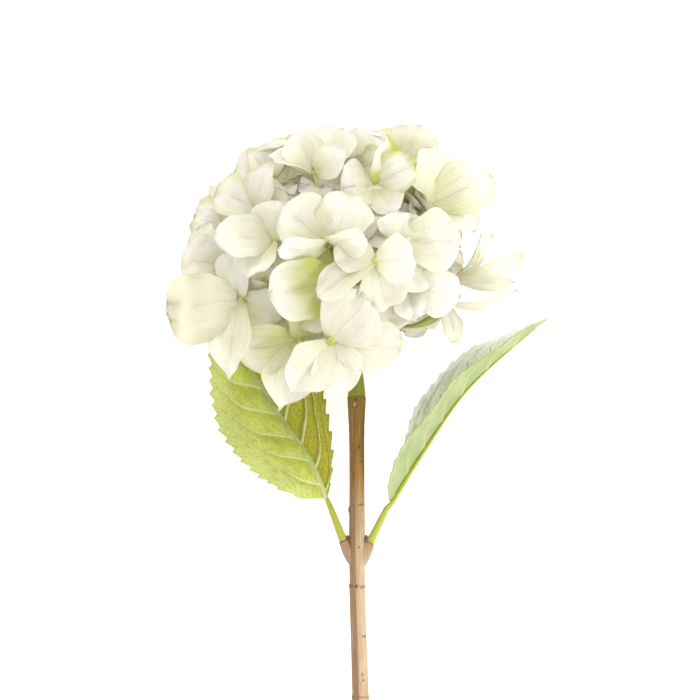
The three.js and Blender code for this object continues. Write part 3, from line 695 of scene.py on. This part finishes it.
def grid_normals(rows, towards):
    """The normal at each point of a grid, on the side that faces towards."""
    tall, wide = len(rows), len(rows[0])
    normals = []
    for i in range(tall):
        normals.append([])
        for k in range(wide):
            down = rows[min(i + 1, tall - 1)][k] - rows[max(i - 1, 0)][k]
            over = rows[i][min(k + 1, wide - 1)] - rows[i][max(k - 1, 0)]
            n = down.cross(over)
            n = n.normalized() if n.length > 1e-6 else towards.copy()
            normals[-1].append(n if n.dot(towards) >= 0 else -n)
    return normals


def add_bud(sheets, floret):
    """The four-lobed green bud at the middle of a floret."""
    facing = floret["facing"]
    first = floret["sepals"][0]["tip"] - floret["eye"]
    first = (first - facing * first.dot(facing)).normalized()
    second = facing.cross(first)
    around, rings, size = 32, 9, floret.get("bud", 0.55)
    made = []
    for i in range(rings + 1):
        slope = pi * 0.62 * i / rings
        made.append([])
        for k, a in turns(around):
            cleft = (0.5 + 0.5 * cos(4 * a)) ** 3 * sin(slope)
            reach = 2.6 * size * sin(slope) * (1 - 0.22 * cleft)
            up = 0.6 + size * (1.6 * cos(slope) - 0.5 * cleft - 0.4 * ramp(0.5, 0, slope))
            p = floret["eye"] + facing * up + (first * cos(a) + second * sin(a)) * reach
            shade = floret.get("eye_green", 0.1) + 0.5 * max(cleft, ramp(0.45, 0.1, slope))
            made[-1].append(sheets.add(p, (k / around, i / rings), (min(1, shade), 0, 0)))
    sheets.join(made, inward=True)
    sheets.faces.append(tuple(reversed(made[-1])))


def ray_ends():
    """Where the rays of the head end, round the middle of it."""
    ends = []
    for i in range(RAYS):
        level = 0.92 - 1.5 * (i + 0.5) / RAYS
        turn, ring = i * GOLDEN_TURN + 0.6, sqrt(1 - level * level)
        across, up, out = RAY_REACH
        way = Vector((across * ring * cos(turn), up * level + 2, out * ring * sin(turn)))
        ends.append(way + HEAD)
    return ends


def bowed(start, end, sag, start_radius, end_radius, steps=8):
    """Stations of a stalk that bows a little on its way."""
    stations = []
    for i in range(steps + 1):
        t = i / steps
        radius = start_radius + (end_radius - start_radius) * t
        place = start.lerp(end, t) + sag * sin(pi * t)
        stations.append((place, radius * (1 + 0.25 * (2 * t - 1) ** 4)))
    return stations


def add_stalks(sheets, florets, draw):
    """The green top of the stem, the rays it parts into, and a thin stalk to each floret."""
    trunk = [(Vector((-0.2, STEM_TOP + 0.02, 0)), 4.45), (Vector((-0.2, STEM_TOP + 3, 0)), 4.3)]
    trunk += [(Vector((-0.6, STEM_TOP + 9, 0)), 4.0), (Vector((-2, 92, 0.5)), 3.7), (FORK.copy(), 3.4)]
    sheets.tube(trunk + [(FORK + Vector((-0.4, 3, 0)), 1.6)], 24, (1, 0, 0))
    ends = ray_ends()
    for end in ends:
        sag = Vector([draw.between(-1.2, 1.2) for _ in range(3)])
        sheets.tube(bowed(FORK, end, sag, 1.9, 1.6), 10, (0.35, 0, 0))
    for floret in florets:
        eye, facing = floret["eye"], floret["facing"]
        ray = min(ends, key=lambda end: (end - eye).length)
        foot = lifted(eye - facing * 0.3, 1.2)
        sag = Vector([draw.between(-1, 1) for _ in range(3)])
        stations = bowed(ray, foot, sag, 1.0, 0.8)
        stations[-1] = (stations[-1][0], 1.7)
        sheets.tube(stations, 8, (0.25 * draw.between(0, 1), 0, 0))
    for shown in SHOWN_STALKS:
        line, last = Line([Vector(place) + HEAD for place, _ in shown]), len(shown) - 1
        stations = []
        for i in range(17):
            k = min(last - 1, int(i / 16 * last))
            part = i / 16 * last - k
            stations.append((line.at(i / 16), shown[k][1] + (shown[k + 1][1] - shown[k][1]) * part))
        sheets.tube(stations, 12, (0.7, 0, 0))


# Leaves


def width_at(widths, s):
    for (s0, w0), (s1, w1) in zip(widths, widths[1:]):
        if s <= s1:
            return w0 + (w1 - w0) * (s - s0) / (s1 - s0)
    return widths[-1][1]


def blade_place(shape, line, s, half, out, past=0.0):
    """A place on one half of a blade, and the way its upper side faces there."""
    fold, widths = shape["halves"][half]
    fold += shape["opening"][half] * ramp(0.4, 0, s)
    wide = width_at(widths, s)
    tangent = line.along(s)
    face = (shape["facing"] - tangent * shape["facing"].dot(tangent)).normalized()
    across = tangent.cross(face) * (1 if half else -1)
    angle = radians(fold)
    outward = across * cos(angle) + face * sin(angle)
    normal = face * cos(angle) - across * sin(angle)
    place = line.at(s) + outward * (wide * out + past) + normal * (0.16 * wide * out * (1 - out))
    return place, (normal if out else face)


def tooth_past(s):
    """How far the margin stands out at a share of the length: long backs, short fronts."""
    saw = s * TEETH % 1
    saw = (saw / 0.84) ** 1.2 if saw < 0.84 else (1 - saw) / 0.16
    return TOOTH * min(1, 0.3 + 4 * s, 0.2 + 5 * (1 - s)) * saw


def make_leaf(name, skin, stalk_skin):
    """The blade, puffed up between its side veins, and the petiole that runs on as its midrib."""
    shape = LEAVES[name]
    line = Line(shape["midrib"])
    blade = Sheets()
    steps, wide = TEETH * 6, 16
    for half in (0, 1):
        widths, painted_sheen, shaded_half = shape["halves"][half][1], shape["painted_sheen"][half], shape["shaded_half"][half]
        grid = []
        for i in range(steps + 1):
            s = i / steps
            grid.append([])
            reach, tooth = width_at(widths, s), tooth_past(s)
            for k in range(wide + 1):
                out = (k / wide) ** 0.9
                x = reach * out
                bend, swing = max(0, x - 0.43 * reach), 0.5 + 0.5 * ramp(0, 0.18, s)
                back = s - swing * (0.75 * x + 4.2 * bend * bend / (reach + 2)) / line.length
                vein = copysign(LEAF_PAIRS * abs(back) ** 0.85, back) + 0.3 + 0.35 * half
                near = abs(vein % 1 - 0.5) * 2
                between = ramp(0, 4, x) * ramp(0, 9, reach - x)
                puff = (1.7 * (1 - near * near) - 0.4) * between
                ripple = 0.3 * sin(x * 1.1 + 5 * vein) * between * (1 - near)
                wave = 0.6 * sin(s * 21 + half * 2) * out * out
                rib = 0.35 * ramp(0.75, 1, near) * ramp(0, 6, reach - x) + 0.05
                p, n = blade_place(shape, line, s, half, out, tooth * ramp(0.75, 1, out))
                place = p + n * (puff + ripple + wave)
                # the first share marks the upper side, lowered on a half with painted shade; the third marks painted
                # sheen
                grid[-1].append((place, (vein, x), (1 - 0.4 * shaded_half, out, painted_sheen), (0.0, out, 0.0), rib))
        blade.shell(grid, blade_place(shape, line, 0.4, half, 0.5)[1], LEAF_THICK)
    start, along, _ = PETIOLES[name]
    rib = [(start + along * way, radius) for way, radius in ((0.02, 2.25), (1.6, 2.2), (4, 2.0))]
    for share, way, radius in ((0.55, 1, 1.7), (0.8, 0.7, 1.5)):
        rib.append((start.lerp(line.at(0), share) + along * way, radius))
    for i in range(33):
        s = i / 34
        face = blade_place(shape, line, s, 0, 0)[1]
        rib.append((line.at(s) - face * (1.25 - 1.05 * s), shape["rib"] * (1 - 0.8 * s)))
    petiole = Sheets()
    petiole.tube(rib, 16, (0.3, 0, 0))
    return blade.piece(name + "_blade", skin, name), petiole.piece(name + "_petiole", stalk_skin, name)


# Stem


def bark_at(up):
    """The sideways lean and the radius of the bark at a height."""
    profile = sorted(BARK)
    up = max(up, profile[0][0])
    for (u0, x0, r0), (u1, x1, r1) in zip(profile, profile[1:]):
        if up <= u1:
            t = (up - u0) / (u1 - u0)
            return x0 + (x1 - x0) * t, r0 + (r1 - r0) * t * t * (3 - 2 * t)
    return profile[-1][1:]


def scar_shares(across, up, front):
    """How far a place on the bark stands out, and how dark and green it is, from the marks about it."""
    out, dark, green = 0, 0, 0
    for at, aside, tall, wide, stand, leafy, shade in SCARS:
        apart = hypot((across - aside) / wide, (up - at) / tall)
        apart += 0.7 * noise.noise(Vector((across * 1.3, up * 1.3, at)))
        if front and apart < 2:
            inside = ramp(1.25, 0.5, apart)
            lip = ramp(0.7, 1.1, apart) * ramp(1.8, 1.2, apart)
            out += stand * inside + 0.12 * lip
            dark = max(dark, shade * (lip if leafy == 1 else inside))
            green = max(green, leafy * inside)
    return out, dark, green


def make_stem(skin, cut_skin):
    """The woody stem with its blunt edges, rings, marks, leaf bases and the buds in their axils."""
    bark, cut = Sheets(), Sheets()
    around, steps = 72, 620
    rings = []
    for i in range(steps + 1):
        up = STEM_END - 4 + (STEM_TOP - STEM_END + 4) * i / steps
        x, r = bark_at(up)
        ring_dark = max(ramp(reach, 0, abs(up - at)) for at, reach in RINGS)
        rings.append([])
        for k, a in turns(around):
            out = Vector((sin(a), 0, cos(a)))
            edge = (0.5 + 0.5 * cos(4 * (a + 0.12 + 0.002 * up))) ** 3
            grain, fine, rough = (
                noise.noise(Vector((out.x * around_it, up * along_it, out.z * around_it)))
                for around_it, along_it in ((3.2, 0.03), (9, 0.12), (4, 0.9))
            )
            stand, dark, green = scar_shares(out.x * r, up, out.z > -0.2)
            radius = r * (1 + 0.04 * edge - 0.012 + 0.025 * grain + 0.014 * fine) + stand
            radius += 0.12 * ring_dark * rough
            # darker on the left of the stem, more so low down: painted shade, as the light comes from the right
            side = ramp(0.02, -0.12, sin(a + 0.12)) * (0.55 + 0.45 * ramp(30, 5, up))
            place = Vector((x, up, 0)) + out * radius
            place.y = max(place.y, STEM_END + CUT_SLOPE * place.z)
            dark = max(dark, ring_dark * (0.45 + 0.5 * rough))
            green = max(green, 0.5 * ring_dark * ramp(0, 0.5, fine + 0.2) * (up > -30))
            rings[-1].append(bark.add(place, (k / around, up), (dark, green, side)))
    bark.close(rings)
    for start, along, root in PETIOLES.values():
        base = Line([root, root.lerp(start, 0.55), start])
        stations = []
        for i in range(17):
            t = i / 16
            radius = 2.1 + 1.05 * sin(pi * min(1, t * 0.9)) - 0.05 * t + 0.25 * ramp(0.85, 1, t)
            stations.append((base.at(t), radius))
        # the third share is painted side shade: it darkens the left leaf's base, the rings where the petioles start
        # and the buds
        bark.tube(stations, 24, (0.12, 0, 0.25 if start.x < 0 else 0))
        bark.tube([(start - along * 0.05, 2.45), (start + along * 0.25, 2.4)], 24, (0.8, 0, 0.3))
        side = copysign(1, start.x)
        bud = Line([(side * 3.4, 1.2, 0.6), (side * 4.5, 3.2, 1), (side * 4.7, 5.2, 1)])
        stations = []
        for i in range(9):
            swell = sin(pi * min(0.97, 0.3 + 0.085 * i))
            stations.append((bud.at(i / 8), 0.15 + 1.15 * swell))
        bark.tube(stations, 14, (0.95, 0.15, 0.4))
    x, r = bark_at(STEM_END)
    rings = []
    for i in range(13):
        share = 1 - i / 12 * 0.99
        rings.append([])
        for k, a in turns(around):
            z = cos(a) * r * 0.985 * share
            saw = 0.05 * noise.noise(Vector((sin(a) * share * 6, share * 9, cos(a) * 6)))
            place = Vector((x + sin(a) * r * 0.985 * share, STEM_END + CUT_SLOPE * z - 0.05 + saw, z))
            rings[-1].append(cut.add(place, (k / around, share), (share, 0, 0)))
    cut.join(rings, inward=True)
    cut.faces.append(tuple(rings[-1]))
    return bark.piece("stem_bark", skin, "stem"), cut.piece("cut_face", cut_skin, "stem")


# Finishes


class Nodes:
    """Short words for making and joining nodes in one tree."""

    def __init__(self, tree):
        self.tree = tree

    def put(self, socket, value):
        if isinstance(value, bpy.types.NodeSocket):
            self.tree.links.new(value, socket)
        elif value is not None:
            socket.default_value = value

    def node(self, kind, inputs=None, **settings):
        made = self.tree.nodes.new("ShaderNode" + kind)
        for key, value in settings.items():
            setattr(made, key, value)
        for socket, value in (inputs or {}).items():
            self.put(made.inputs[socket], value)
        return made

    def math(self, operation, a, b=None, clamp=False):
        return self.node("Math", {0: a, 1: b}, operation=operation, use_clamp=clamp).outputs[0]

    def times(self, a, b):
        return self.math("MULTIPLY", a, b, clamp=True)

    def mix(self, share, a, b):
        return self.node("Mix", {"Factor": share, 6: a, 7: b}, data_type="RGBA").outputs[2]

    def band(self, value, low, high, out_low=0.0, out_high=1.0):
        """How far a value has come from low to high, smoothly."""
        inputs = {"Value": value, "From Min": low, "From Max": high, "To Min": out_low, "To Max": out_high}
        return self.node("MapRange", inputs, interpolation_type="SMOOTHSTEP").outputs["Result"]

    def place(self):
        return self.node("TexCoord").outputs["Object"]

    def noise(self, place, scale, detail=3.0, rough=0.5):
        inputs = {"Vector": place, "Scale": scale, "Detail": detail, "Roughness": rough}
        return self.node("TexNoise", inputs).outputs["Fac"]

    def blade(self):
        """The two numbers of a point's place on its blade."""
        split = self.node("SeparateXYZ", {0: self.node("UVMap", uv_map="blade").outputs["UV"]})
        return split.outputs["X"], split.outputs["Y"]

    def shares(self):
        colour = self.node("Attribute", attribute_name="shares").outputs["Color"]
        return self.node("SeparateColor", {0: colour}).outputs.values()

    def mottle(self, scale):
        made = self.node("Group", {"Scale": scale}, node_tree=bpy.data.node_groups["mottle"])
        return made.outputs["Patches"], made.outputs["Grain"]

    def veins(self, value, count, width, fray):
        inputs = {"Value": value, "Count": count, "Width": width, "Fray": fray}
        return self.node("Group", inputs, node_tree=bpy.data.node_groups["veins"]).outputs["Mask"]

    def bump(self, height, strength, distance):
        inputs = {"Strength": strength, "Distance": distance, "Height": height}
        return self.node("Bump", inputs).outputs["Normal"]

    def surface(self, base, rough, normal, through=0.0, glow=None, **more):
        """Ends the material, letting a share of the light through the blade."""
        inputs = {"Base Color": base, "Roughness": rough, "Normal": normal}
        shader = self.node("BsdfPrincipled", inputs | {word.replace("_", " "): more[word] for word in more})
        if through:
            lit = self.node("BsdfTranslucent", {"Color": glow or base})
            shader = self.node("MixShader", {0: through, 1: shader.outputs[0], 2: lit.outputs[0]})
        self.node("OutputMaterial", {"Surface": shader.outputs[0]})


def new_material(name):
    material = bpy.data.materials.new(name)
    material.use_nodes = True
    material.node_tree.nodes.clear()
    return material, Nodes(material.node_tree)


def rgb(red, green, blue):
    """A colour given in the 0 to 255 numbers of a picture, as light."""
    return (*(((c / 255 + 0.055) / 1.055) ** 2.4 if c > 10 else c / 3295 for c in (red, green, blue)), 1)


def new_group(name, inputs, outputs):
    tree = bpy.data.node_groups.new(name, "ShaderNodeTree")
    for words, way in ((inputs, "INPUT"), (outputs, "OUTPUT")):
        for word in words:
            tree.interface.new_socket(word, in_out=way, socket_type="NodeSocketFloat")
    return Nodes(tree), tree.nodes.new("NodeGroupInput").outputs, tree.nodes.new("NodeGroupOutput").inputs


def mottle_group():
    """Soft uneven colour, as living tissue has, and a fine grain for relief."""
    n, start, end = new_group("mottle", ["Scale"], ["Patches", "Grain"])
    place = n.place()
    n.put(end["Patches"], n.band(n.noise(place, start["Scale"], 2), 0.35, 0.68))
    n.put(end["Grain"], n.noise(place, n.math("MULTIPLY", start["Scale"], 14.0), 3))


def veins_group():
    """Veins that run at whole steps of a value, frayed a little by noise."""
    n, start, end = new_group("veins", ["Value", "Count", "Width", "Fray"], ["Mask"])
    fray = n.math("MULTIPLY", n.math("SUBTRACT", n.noise(n.place(), 160.0, 3), 0.5), start["Fray"])
    value = n.math("ADD", n.math("MULTIPLY", start["Value"], start["Count"]), fray)
    off = n.math("ABSOLUTE", n.math("SUBTRACT", n.math("FRACT", value), 0.5))
    n.put(end["Mask"], n.band(n.math("DIVIDE", off, start["Width"]), 0.0, 1.0, 1.0, 0.0))


def petal_material():
    material, n = new_material("petal")
    over, up = n.blade()
    lime, tone, streaked = n.shares()
    patches, grain = n.mottle(70.0)
    main = n.veins(over, 7.0, 0.1, 0.7)
    thin = n.veins(over, 19.0, 0.2, 2.6)
    fade = n.band(up, 1.0, 0.5)
    lines = n.times(n.math("ADD", n.times(main, 0.7), n.times(thin, 0.5)), fade)
    base = n.mix(n.times(n.band(up, 0.42, 0.0), 0.55), rgb(254, 253, 250), rgb(239, 234, 188))
    off_middle = n.math("ABSOLUTE", n.math("SUBTRACT", over, 0.5))
    rim = n.math("MAXIMUM", n.band(off_middle, 0.42, 0.5), n.band(up, 0.9, 1.0))
    base = n.mix(n.times(rim, 0.25), base, rgb(238, 236, 200))
    # greyer by the sepal's tone: drawn at random, and painted shade on the big sepal low on the left
    base = n.mix(n.times(tone, 0.5), base, rgb(237, 234, 216))
    base = n.mix(n.times(patches, 0.18), base, rgb(249, 245, 228))
    green = n.times(lime, n.math("ADD", 0.6, n.times(patches, 0.4)))
    base = n.mix(n.times(green, 0.9), base, rgb(204, 210, 78))
    base = n.mix(n.times(lines, n.math("ADD", 0.22, n.times(streaked, 0.6))), base, rgb(214, 214, 134))
    height = n.math("ADD", n.math("MULTIPLY", lines, -0.7), n.math("MULTIPLY", grain, 0.3))
    warm = n.mix(0.3, base, rgb(254, 249, 224))
    n.surface(base, 0.5, n.bump(height, 0.5, 0.0006), 0.46, warm, Specular_IOR_Level=0.35)
    return material


def green_material(name, pale, deep, rough):
    """Soft green tissue, from pale to deep by the piece's own share."""
    material, n = new_material(name)
    share, _, _ = n.shares()
    patches, grain = n.mottle(160.0)
    base = n.mix(share, pale, deep)
    base = n.mix(n.times(patches, 0.3), base, deep)
    n.surface(base, rough, n.bump(grain, 0.3, 0.0004), 0.15)
    return material


def leaf_material():
    material, n = new_material("leaf")
    vein, x = n.blade()
    kind, out, painted_sheen = n.shares()
    upper, shaded_half = n.band(kind, 0.2, 0.4), n.band(kind, 1.0, 0.6)
    patches, grain = n.mottle(60.0)
    shifted = n.math("ADD", vein, 0.5)
    ribs = n.veins(shifted, 1.0, 0.11, 0.05)
    ribs = n.times(ribs, n.band(out, 1.0, 0.72))
    # lines beside each vein, darkened below as painted shade on the shaded half
    pleat_shade = n.veins(n.math("ADD", vein, 0.36), 1.0, 0.2, 0.25)
    halo = n.veins(shifted, 1.0, 0.22, 0.1)
    ladder = n.veins(x, 0.2, 0.09, 1.1)
    mid = n.band(x, 1.5, 0.8)
    cells = n.node("TexVoronoi", {"Vector": n.place(), "Scale": 420}, feature="DISTANCE_TO_EDGE")
    net = n.band(cells.outputs["Distance"], 0.0, 0.14, 1.0, 0.0)
    pucker = n.noise(n.place(), 750.0, 4, 0.6)
    thin = n.times(n.math("MAXIMUM", n.times(ladder, 0.5), n.times(net, 0.3)), n.band(shaded_half, 1.3, 0.0))
    lines = n.math("MAXIMUM", n.math("MAXIMUM", ribs, mid), thin)
    margin = n.band(out, 0.35, 1.0)
    top = n.mix(patches, rgb(196, 208, 52), rgb(220, 226, 92))
    top = n.mix(n.times(margin, 0.6), top, rgb(228, 232, 146))
    # Darker where the puckered relief dips and paler where it rises: painted shade and highlight, on the noise that
    # also drives the bump. The olive of the shaded half below follows it too.
    top = n.mix(n.times(n.band(pucker, 0.5, 0.36), 0.4), top, rgb(164, 182, 24))
    top = n.mix(n.times(n.band(pucker, 0.52, 0.68), 0.5), top, rgb(222, 228, 136))
    grey = n.times(n.band(x, 5.5, 1.0), n.band(patches, 0.2, 0.7))
    top = n.mix(n.times(grey, 0.5), top, rgb(172, 186, 122))
    # The left leaf's half that is turned from the light is painted darker olive, with darker lines beside its veins:
    # painted shade. Its fine veins and pale halos fade there, and the fine veins fade on the underside too.
    shade_olive = n.mix(n.band(pucker, 0.4, 0.62), rgb(176, 170, 0), rgb(206, 200, 0))
    top = n.mix(n.times(shaded_half, 0.95), top, shade_olive)
    creases = n.veins(vein, 4.0, 0.22, 1.0)
    crease_shade = n.math("MAXIMUM", pleat_shade, n.times(creases, 0.5))
    top = n.mix(n.times(crease_shade, n.times(shaded_half, 0.8)), top, rgb(136, 130, 0))
    top = n.mix(n.times(halo, n.math("SUBTRACT", 0.4, n.times(shaded_half, 0.4))), top, rgb(214, 224, 112))
    top = n.mix(lines, top, rgb(248, 250, 184))
    # Painted sheen: whitish colour on the right leaf's far half standing for the light it reflects, kept off the
    # ribs, with streaks in it and darker olive breaks that are painted shade of its creases. The same share also
    # sets a real coat and sheen.
    bright = n.math("SUBTRACT", 1.0, n.math("MAXIMUM", n.times(ribs, 0.4), n.times(halo, 0.25)))
    streaks = n.veins(vein, 6.0, 0.16, 2.0)
    broken = n.veins(vein, 2.0, 0.12, 1.2)
    painted_sheen_colour = n.mix(n.times(streaks, 0.35), rgb(255, 255, 253), rgb(200, 211, 170))
    painted_sheen_colour = n.mix(n.times(broken, n.times(n.band(patches, 0.55, 0.8), 0.9)), painted_sheen_colour, rgb(150, 164, 84))
    top = n.mix(n.times(painted_sheen, bright), top, painted_sheen_colour)
    low = n.mix(patches, rgb(176, 190, 132), rgb(192, 204, 152))
    low = n.mix(n.times(lines, 0.7), low, rgb(200, 212, 122))
    base = n.mix(upper, low, top)
    side = n.math("SUBTRACT", n.math("MULTIPLY", upper, -2.0), -1.0)
    relief = n.math("MULTIPLY", n.math("ADD", pucker, grain), 0.6)
    height = n.math("ADD", n.math("MULTIPLY", n.times(lines, 0.5), side), relief)
    rough = n.band(painted_sheen, 0.0, 1.0, 0.45, 0.3)
    wax = dict(Coat_Weight=painted_sheen, Sheen_Weight=painted_sheen, Coat_Roughness=0.4, Coat_IOR=2.2)
    n.surface(base, rough, n.bump(height, 0.7, 0.0008), 0.35, **wax)
    return material


def bark_material():
    material, n = new_material("bark")
    _, up = n.blade()
    dark, green, side = n.shares()
    drawn_out = {"Vector": n.place(), "Rotation": (LEAN, 0, 0), "Scale": (1, 14, 1)}
    run = n.node("Mapping", drawn_out, vector_type="TEXTURE").outputs[0]
    fibres = n.noise(run, 1100.0, 5, 0.6)
    bands = n.noise(run, 300.0, 3)
    patches, grain = n.mottle(110.0)
    pale = n.mix(n.band(bands, 0.36, 0.64), rgb(172, 143, 107), rgb(188, 162, 128))
    pale = n.mix(n.times(patches, 0.25), pale, rgb(206, 164, 124))
    # darker brown on the stem's left side, by the third share: painted shade
    pale = n.mix(n.times(side, 0.85), pale, rgb(134, 94, 60))
    brown = n.mix(n.band(bands, 0.36, 0.64), rgb(114, 76, 12), rgb(146, 105, 30))
    base = n.mix(n.band(up, -8.0, 42.0), pale, brown)
    base = n.mix(n.times(n.band(fibres, 0.5, 0.72), 0.35), base, rgb(120, 82, 44))
    base = n.mix(n.times(n.band(fibres, 0.42, 0.25), 0.35), base, rgb(238, 212, 170))
    spots = n.node("TexVoronoi", {"Vector": run, "Scale": 520})
    specks = n.times(n.band(spots.outputs["Distance"], 0.16, 0.05), n.band(bands, 0.5, 0.6))
    base = n.mix(n.times(specks, 0.5), base, rgb(104, 66, 34))
    base = n.mix(green, base, rgb(150, 156, 44))
    base = n.mix(n.times(dark, 0.9), base, rgb(84, 52, 26))
    pits = n.math("ADD", grain, n.math("MULTIPLY", dark, -2.0))
    height = n.math("ADD", fibres, n.math("MULTIPLY", pits, 0.4))
    n.surface(base, n.band(fibres, 0.2, 0.8, 0.6, 0.85), n.bump(height, 0.7, 0.0005))
    return material


def wood_material():
    """The fresh cut: green bark rim, pale wood with fine rays and white pith."""
    material, n = new_material("cut_wood")
    turn, share = n.blade()
    rays = n.math("ABSOLUTE", n.math("SINE", n.math("MULTIPLY", turn, 150.0)))
    patches, grain = n.mottle(400.0)
    base = n.mix(n.times(rays, 0.3), rgb(224, 212, 160), rgb(196, 180, 120))
    base = n.mix(n.band(share, 0.42, 0.36), base, rgb(240, 234, 210))
    base = n.mix(n.band(share, 0.86, 0.92), base, rgb(150, 160, 70))
    base = n.mix(n.band(share, 0.94, 0.98), base, rgb(120, 86, 50))
    base = n.mix(n.times(patches, 0.3), base, rgb(205, 186, 130))
    n.surface(base, 0.8, n.bump(grain, 0.5, 0.0004))
    return material


# The flower


def make_head(petal, green, bud):
    """The florets' sepals, their buds and the stalks inside the head."""
    florets = all_florets()
    deep = deep_florets()
    draw = Draw(SOFT_SEED)
    sepals, buds, stalks = Sheets(), Sheets(), Sheets()
    for floret in florets:
        for sepal in floret["sepals"]:
            add_sepal(sepals, floret, sepal, draw)
        if not floret.get("resting"):
            add_bud(buds, floret)
    for floret in deep:
        for sepal in floret["sepals"]:
            add_sepal(sepals, floret, sepal, draw)
    add_stalks(stalks, florets, draw)
    sepals.piece("sepals", petal, "flower_head")
    buds.piece("floret_buds", bud, "flower_head")
    stalks.piece("floret_stalks", green, "flower_head")


# Stage


def make_stage():
    """A plain pale floor in soft light, strongest from the right and below."""
    reach, low = 4, -0.0003
    floor = bpy.data.meshes.new("floor")
    corners = [(-reach, -reach, low), (reach, -reach, low), (reach, reach, low), (-reach, reach, low)]
    floor.from_pydata(corners, [], [(0, 1, 2, 3)])
    stand = placed("floor", floor)
    material, n = new_material("pale_floor")
    lit = {"Emission Color": (1, 1, 1, 1), "Emission Strength": 0.5}
    shader = n.node("BsdfPrincipled", {"Base Color": (0.92, 0.92, 0.92, 1), "Roughness": 0.9} | lit)
    n.node("OutputMaterial", {"Surface": shader.outputs[0]})
    floor.materials.append(material)
    world = bpy.data.worlds.new("studio")
    bpy.context.scene.world = world
    world.use_nodes = True
    sky = world.node_tree.nodes["Background"].inputs
    sky["Color"].default_value, sky["Strength"].default_value = (1, 1, 1, 1), 1.08
    away = 1.3
    lamps = ("key", (0.8, -0.35, 0.6), 0.8, 8.0), ("fill", (-0.1, 0.85, 0.6), 1.2, 4.2)
    for name, way, size, power in lamps:
        light = bpy.data.lights.new(name, "AREA")
        light.shape, light.size, light.energy = "DISK", size, power
        lamp = placed(name, light)
        direction = (LAID.to_3x3() @ Vector(way)).normalized()
        lamp.location = LAID @ HEAD + direction * away
        lamp.rotation_euler = direction.to_track_quat("Z", "Y").to_euler()


def make_camera():
    """Looks straight down on the laid flower, square to its stem, from far off."""
    view = bpy.data.cameras.new("camera")
    seen_width, distance, sensor = 0.35, 4.0, 36
    view.sensor_width = sensor
    view.lens = sensor * distance / seen_width
    view.clip_end = 50
    camera = placed("camera", view)
    turn = LAID.to_3x3().normalized()
    middle = LAID @ Vector((-3.5, 97.5, 0))
    camera.matrix_world = Matrix.Translation(middle + turn @ Vector((0, 0, distance))) @ turn.to_4x4()
    bpy.context.scene.camera = camera


mottle_group()
veins_group()
petal = petal_material()
green = green_material("stalk_green", rgb(222, 226, 150), rgb(130, 132, 0), 0.5)
bud = green_material("bud_green", rgb(214, 222, 96), rgb(138, 142, 34), 0.45)
petiole = green_material("petiole_green", rgb(186, 190, 60), rgb(156, 160, 22), 0.4)
leaf = leaf_material()
bark = bark_material()
wood = wood_material()

make_head(petal, green, bud)
for name in LEAVES:
    for piece in make_leaf(name, leaf, petiole):
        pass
for piece in make_stem(bark, wood):
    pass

make_stage()
make_camera()
bpy.context.scene.view_settings.view_transform = "Standard"
bpy.context.scene.view_settings.gamma = 1.1
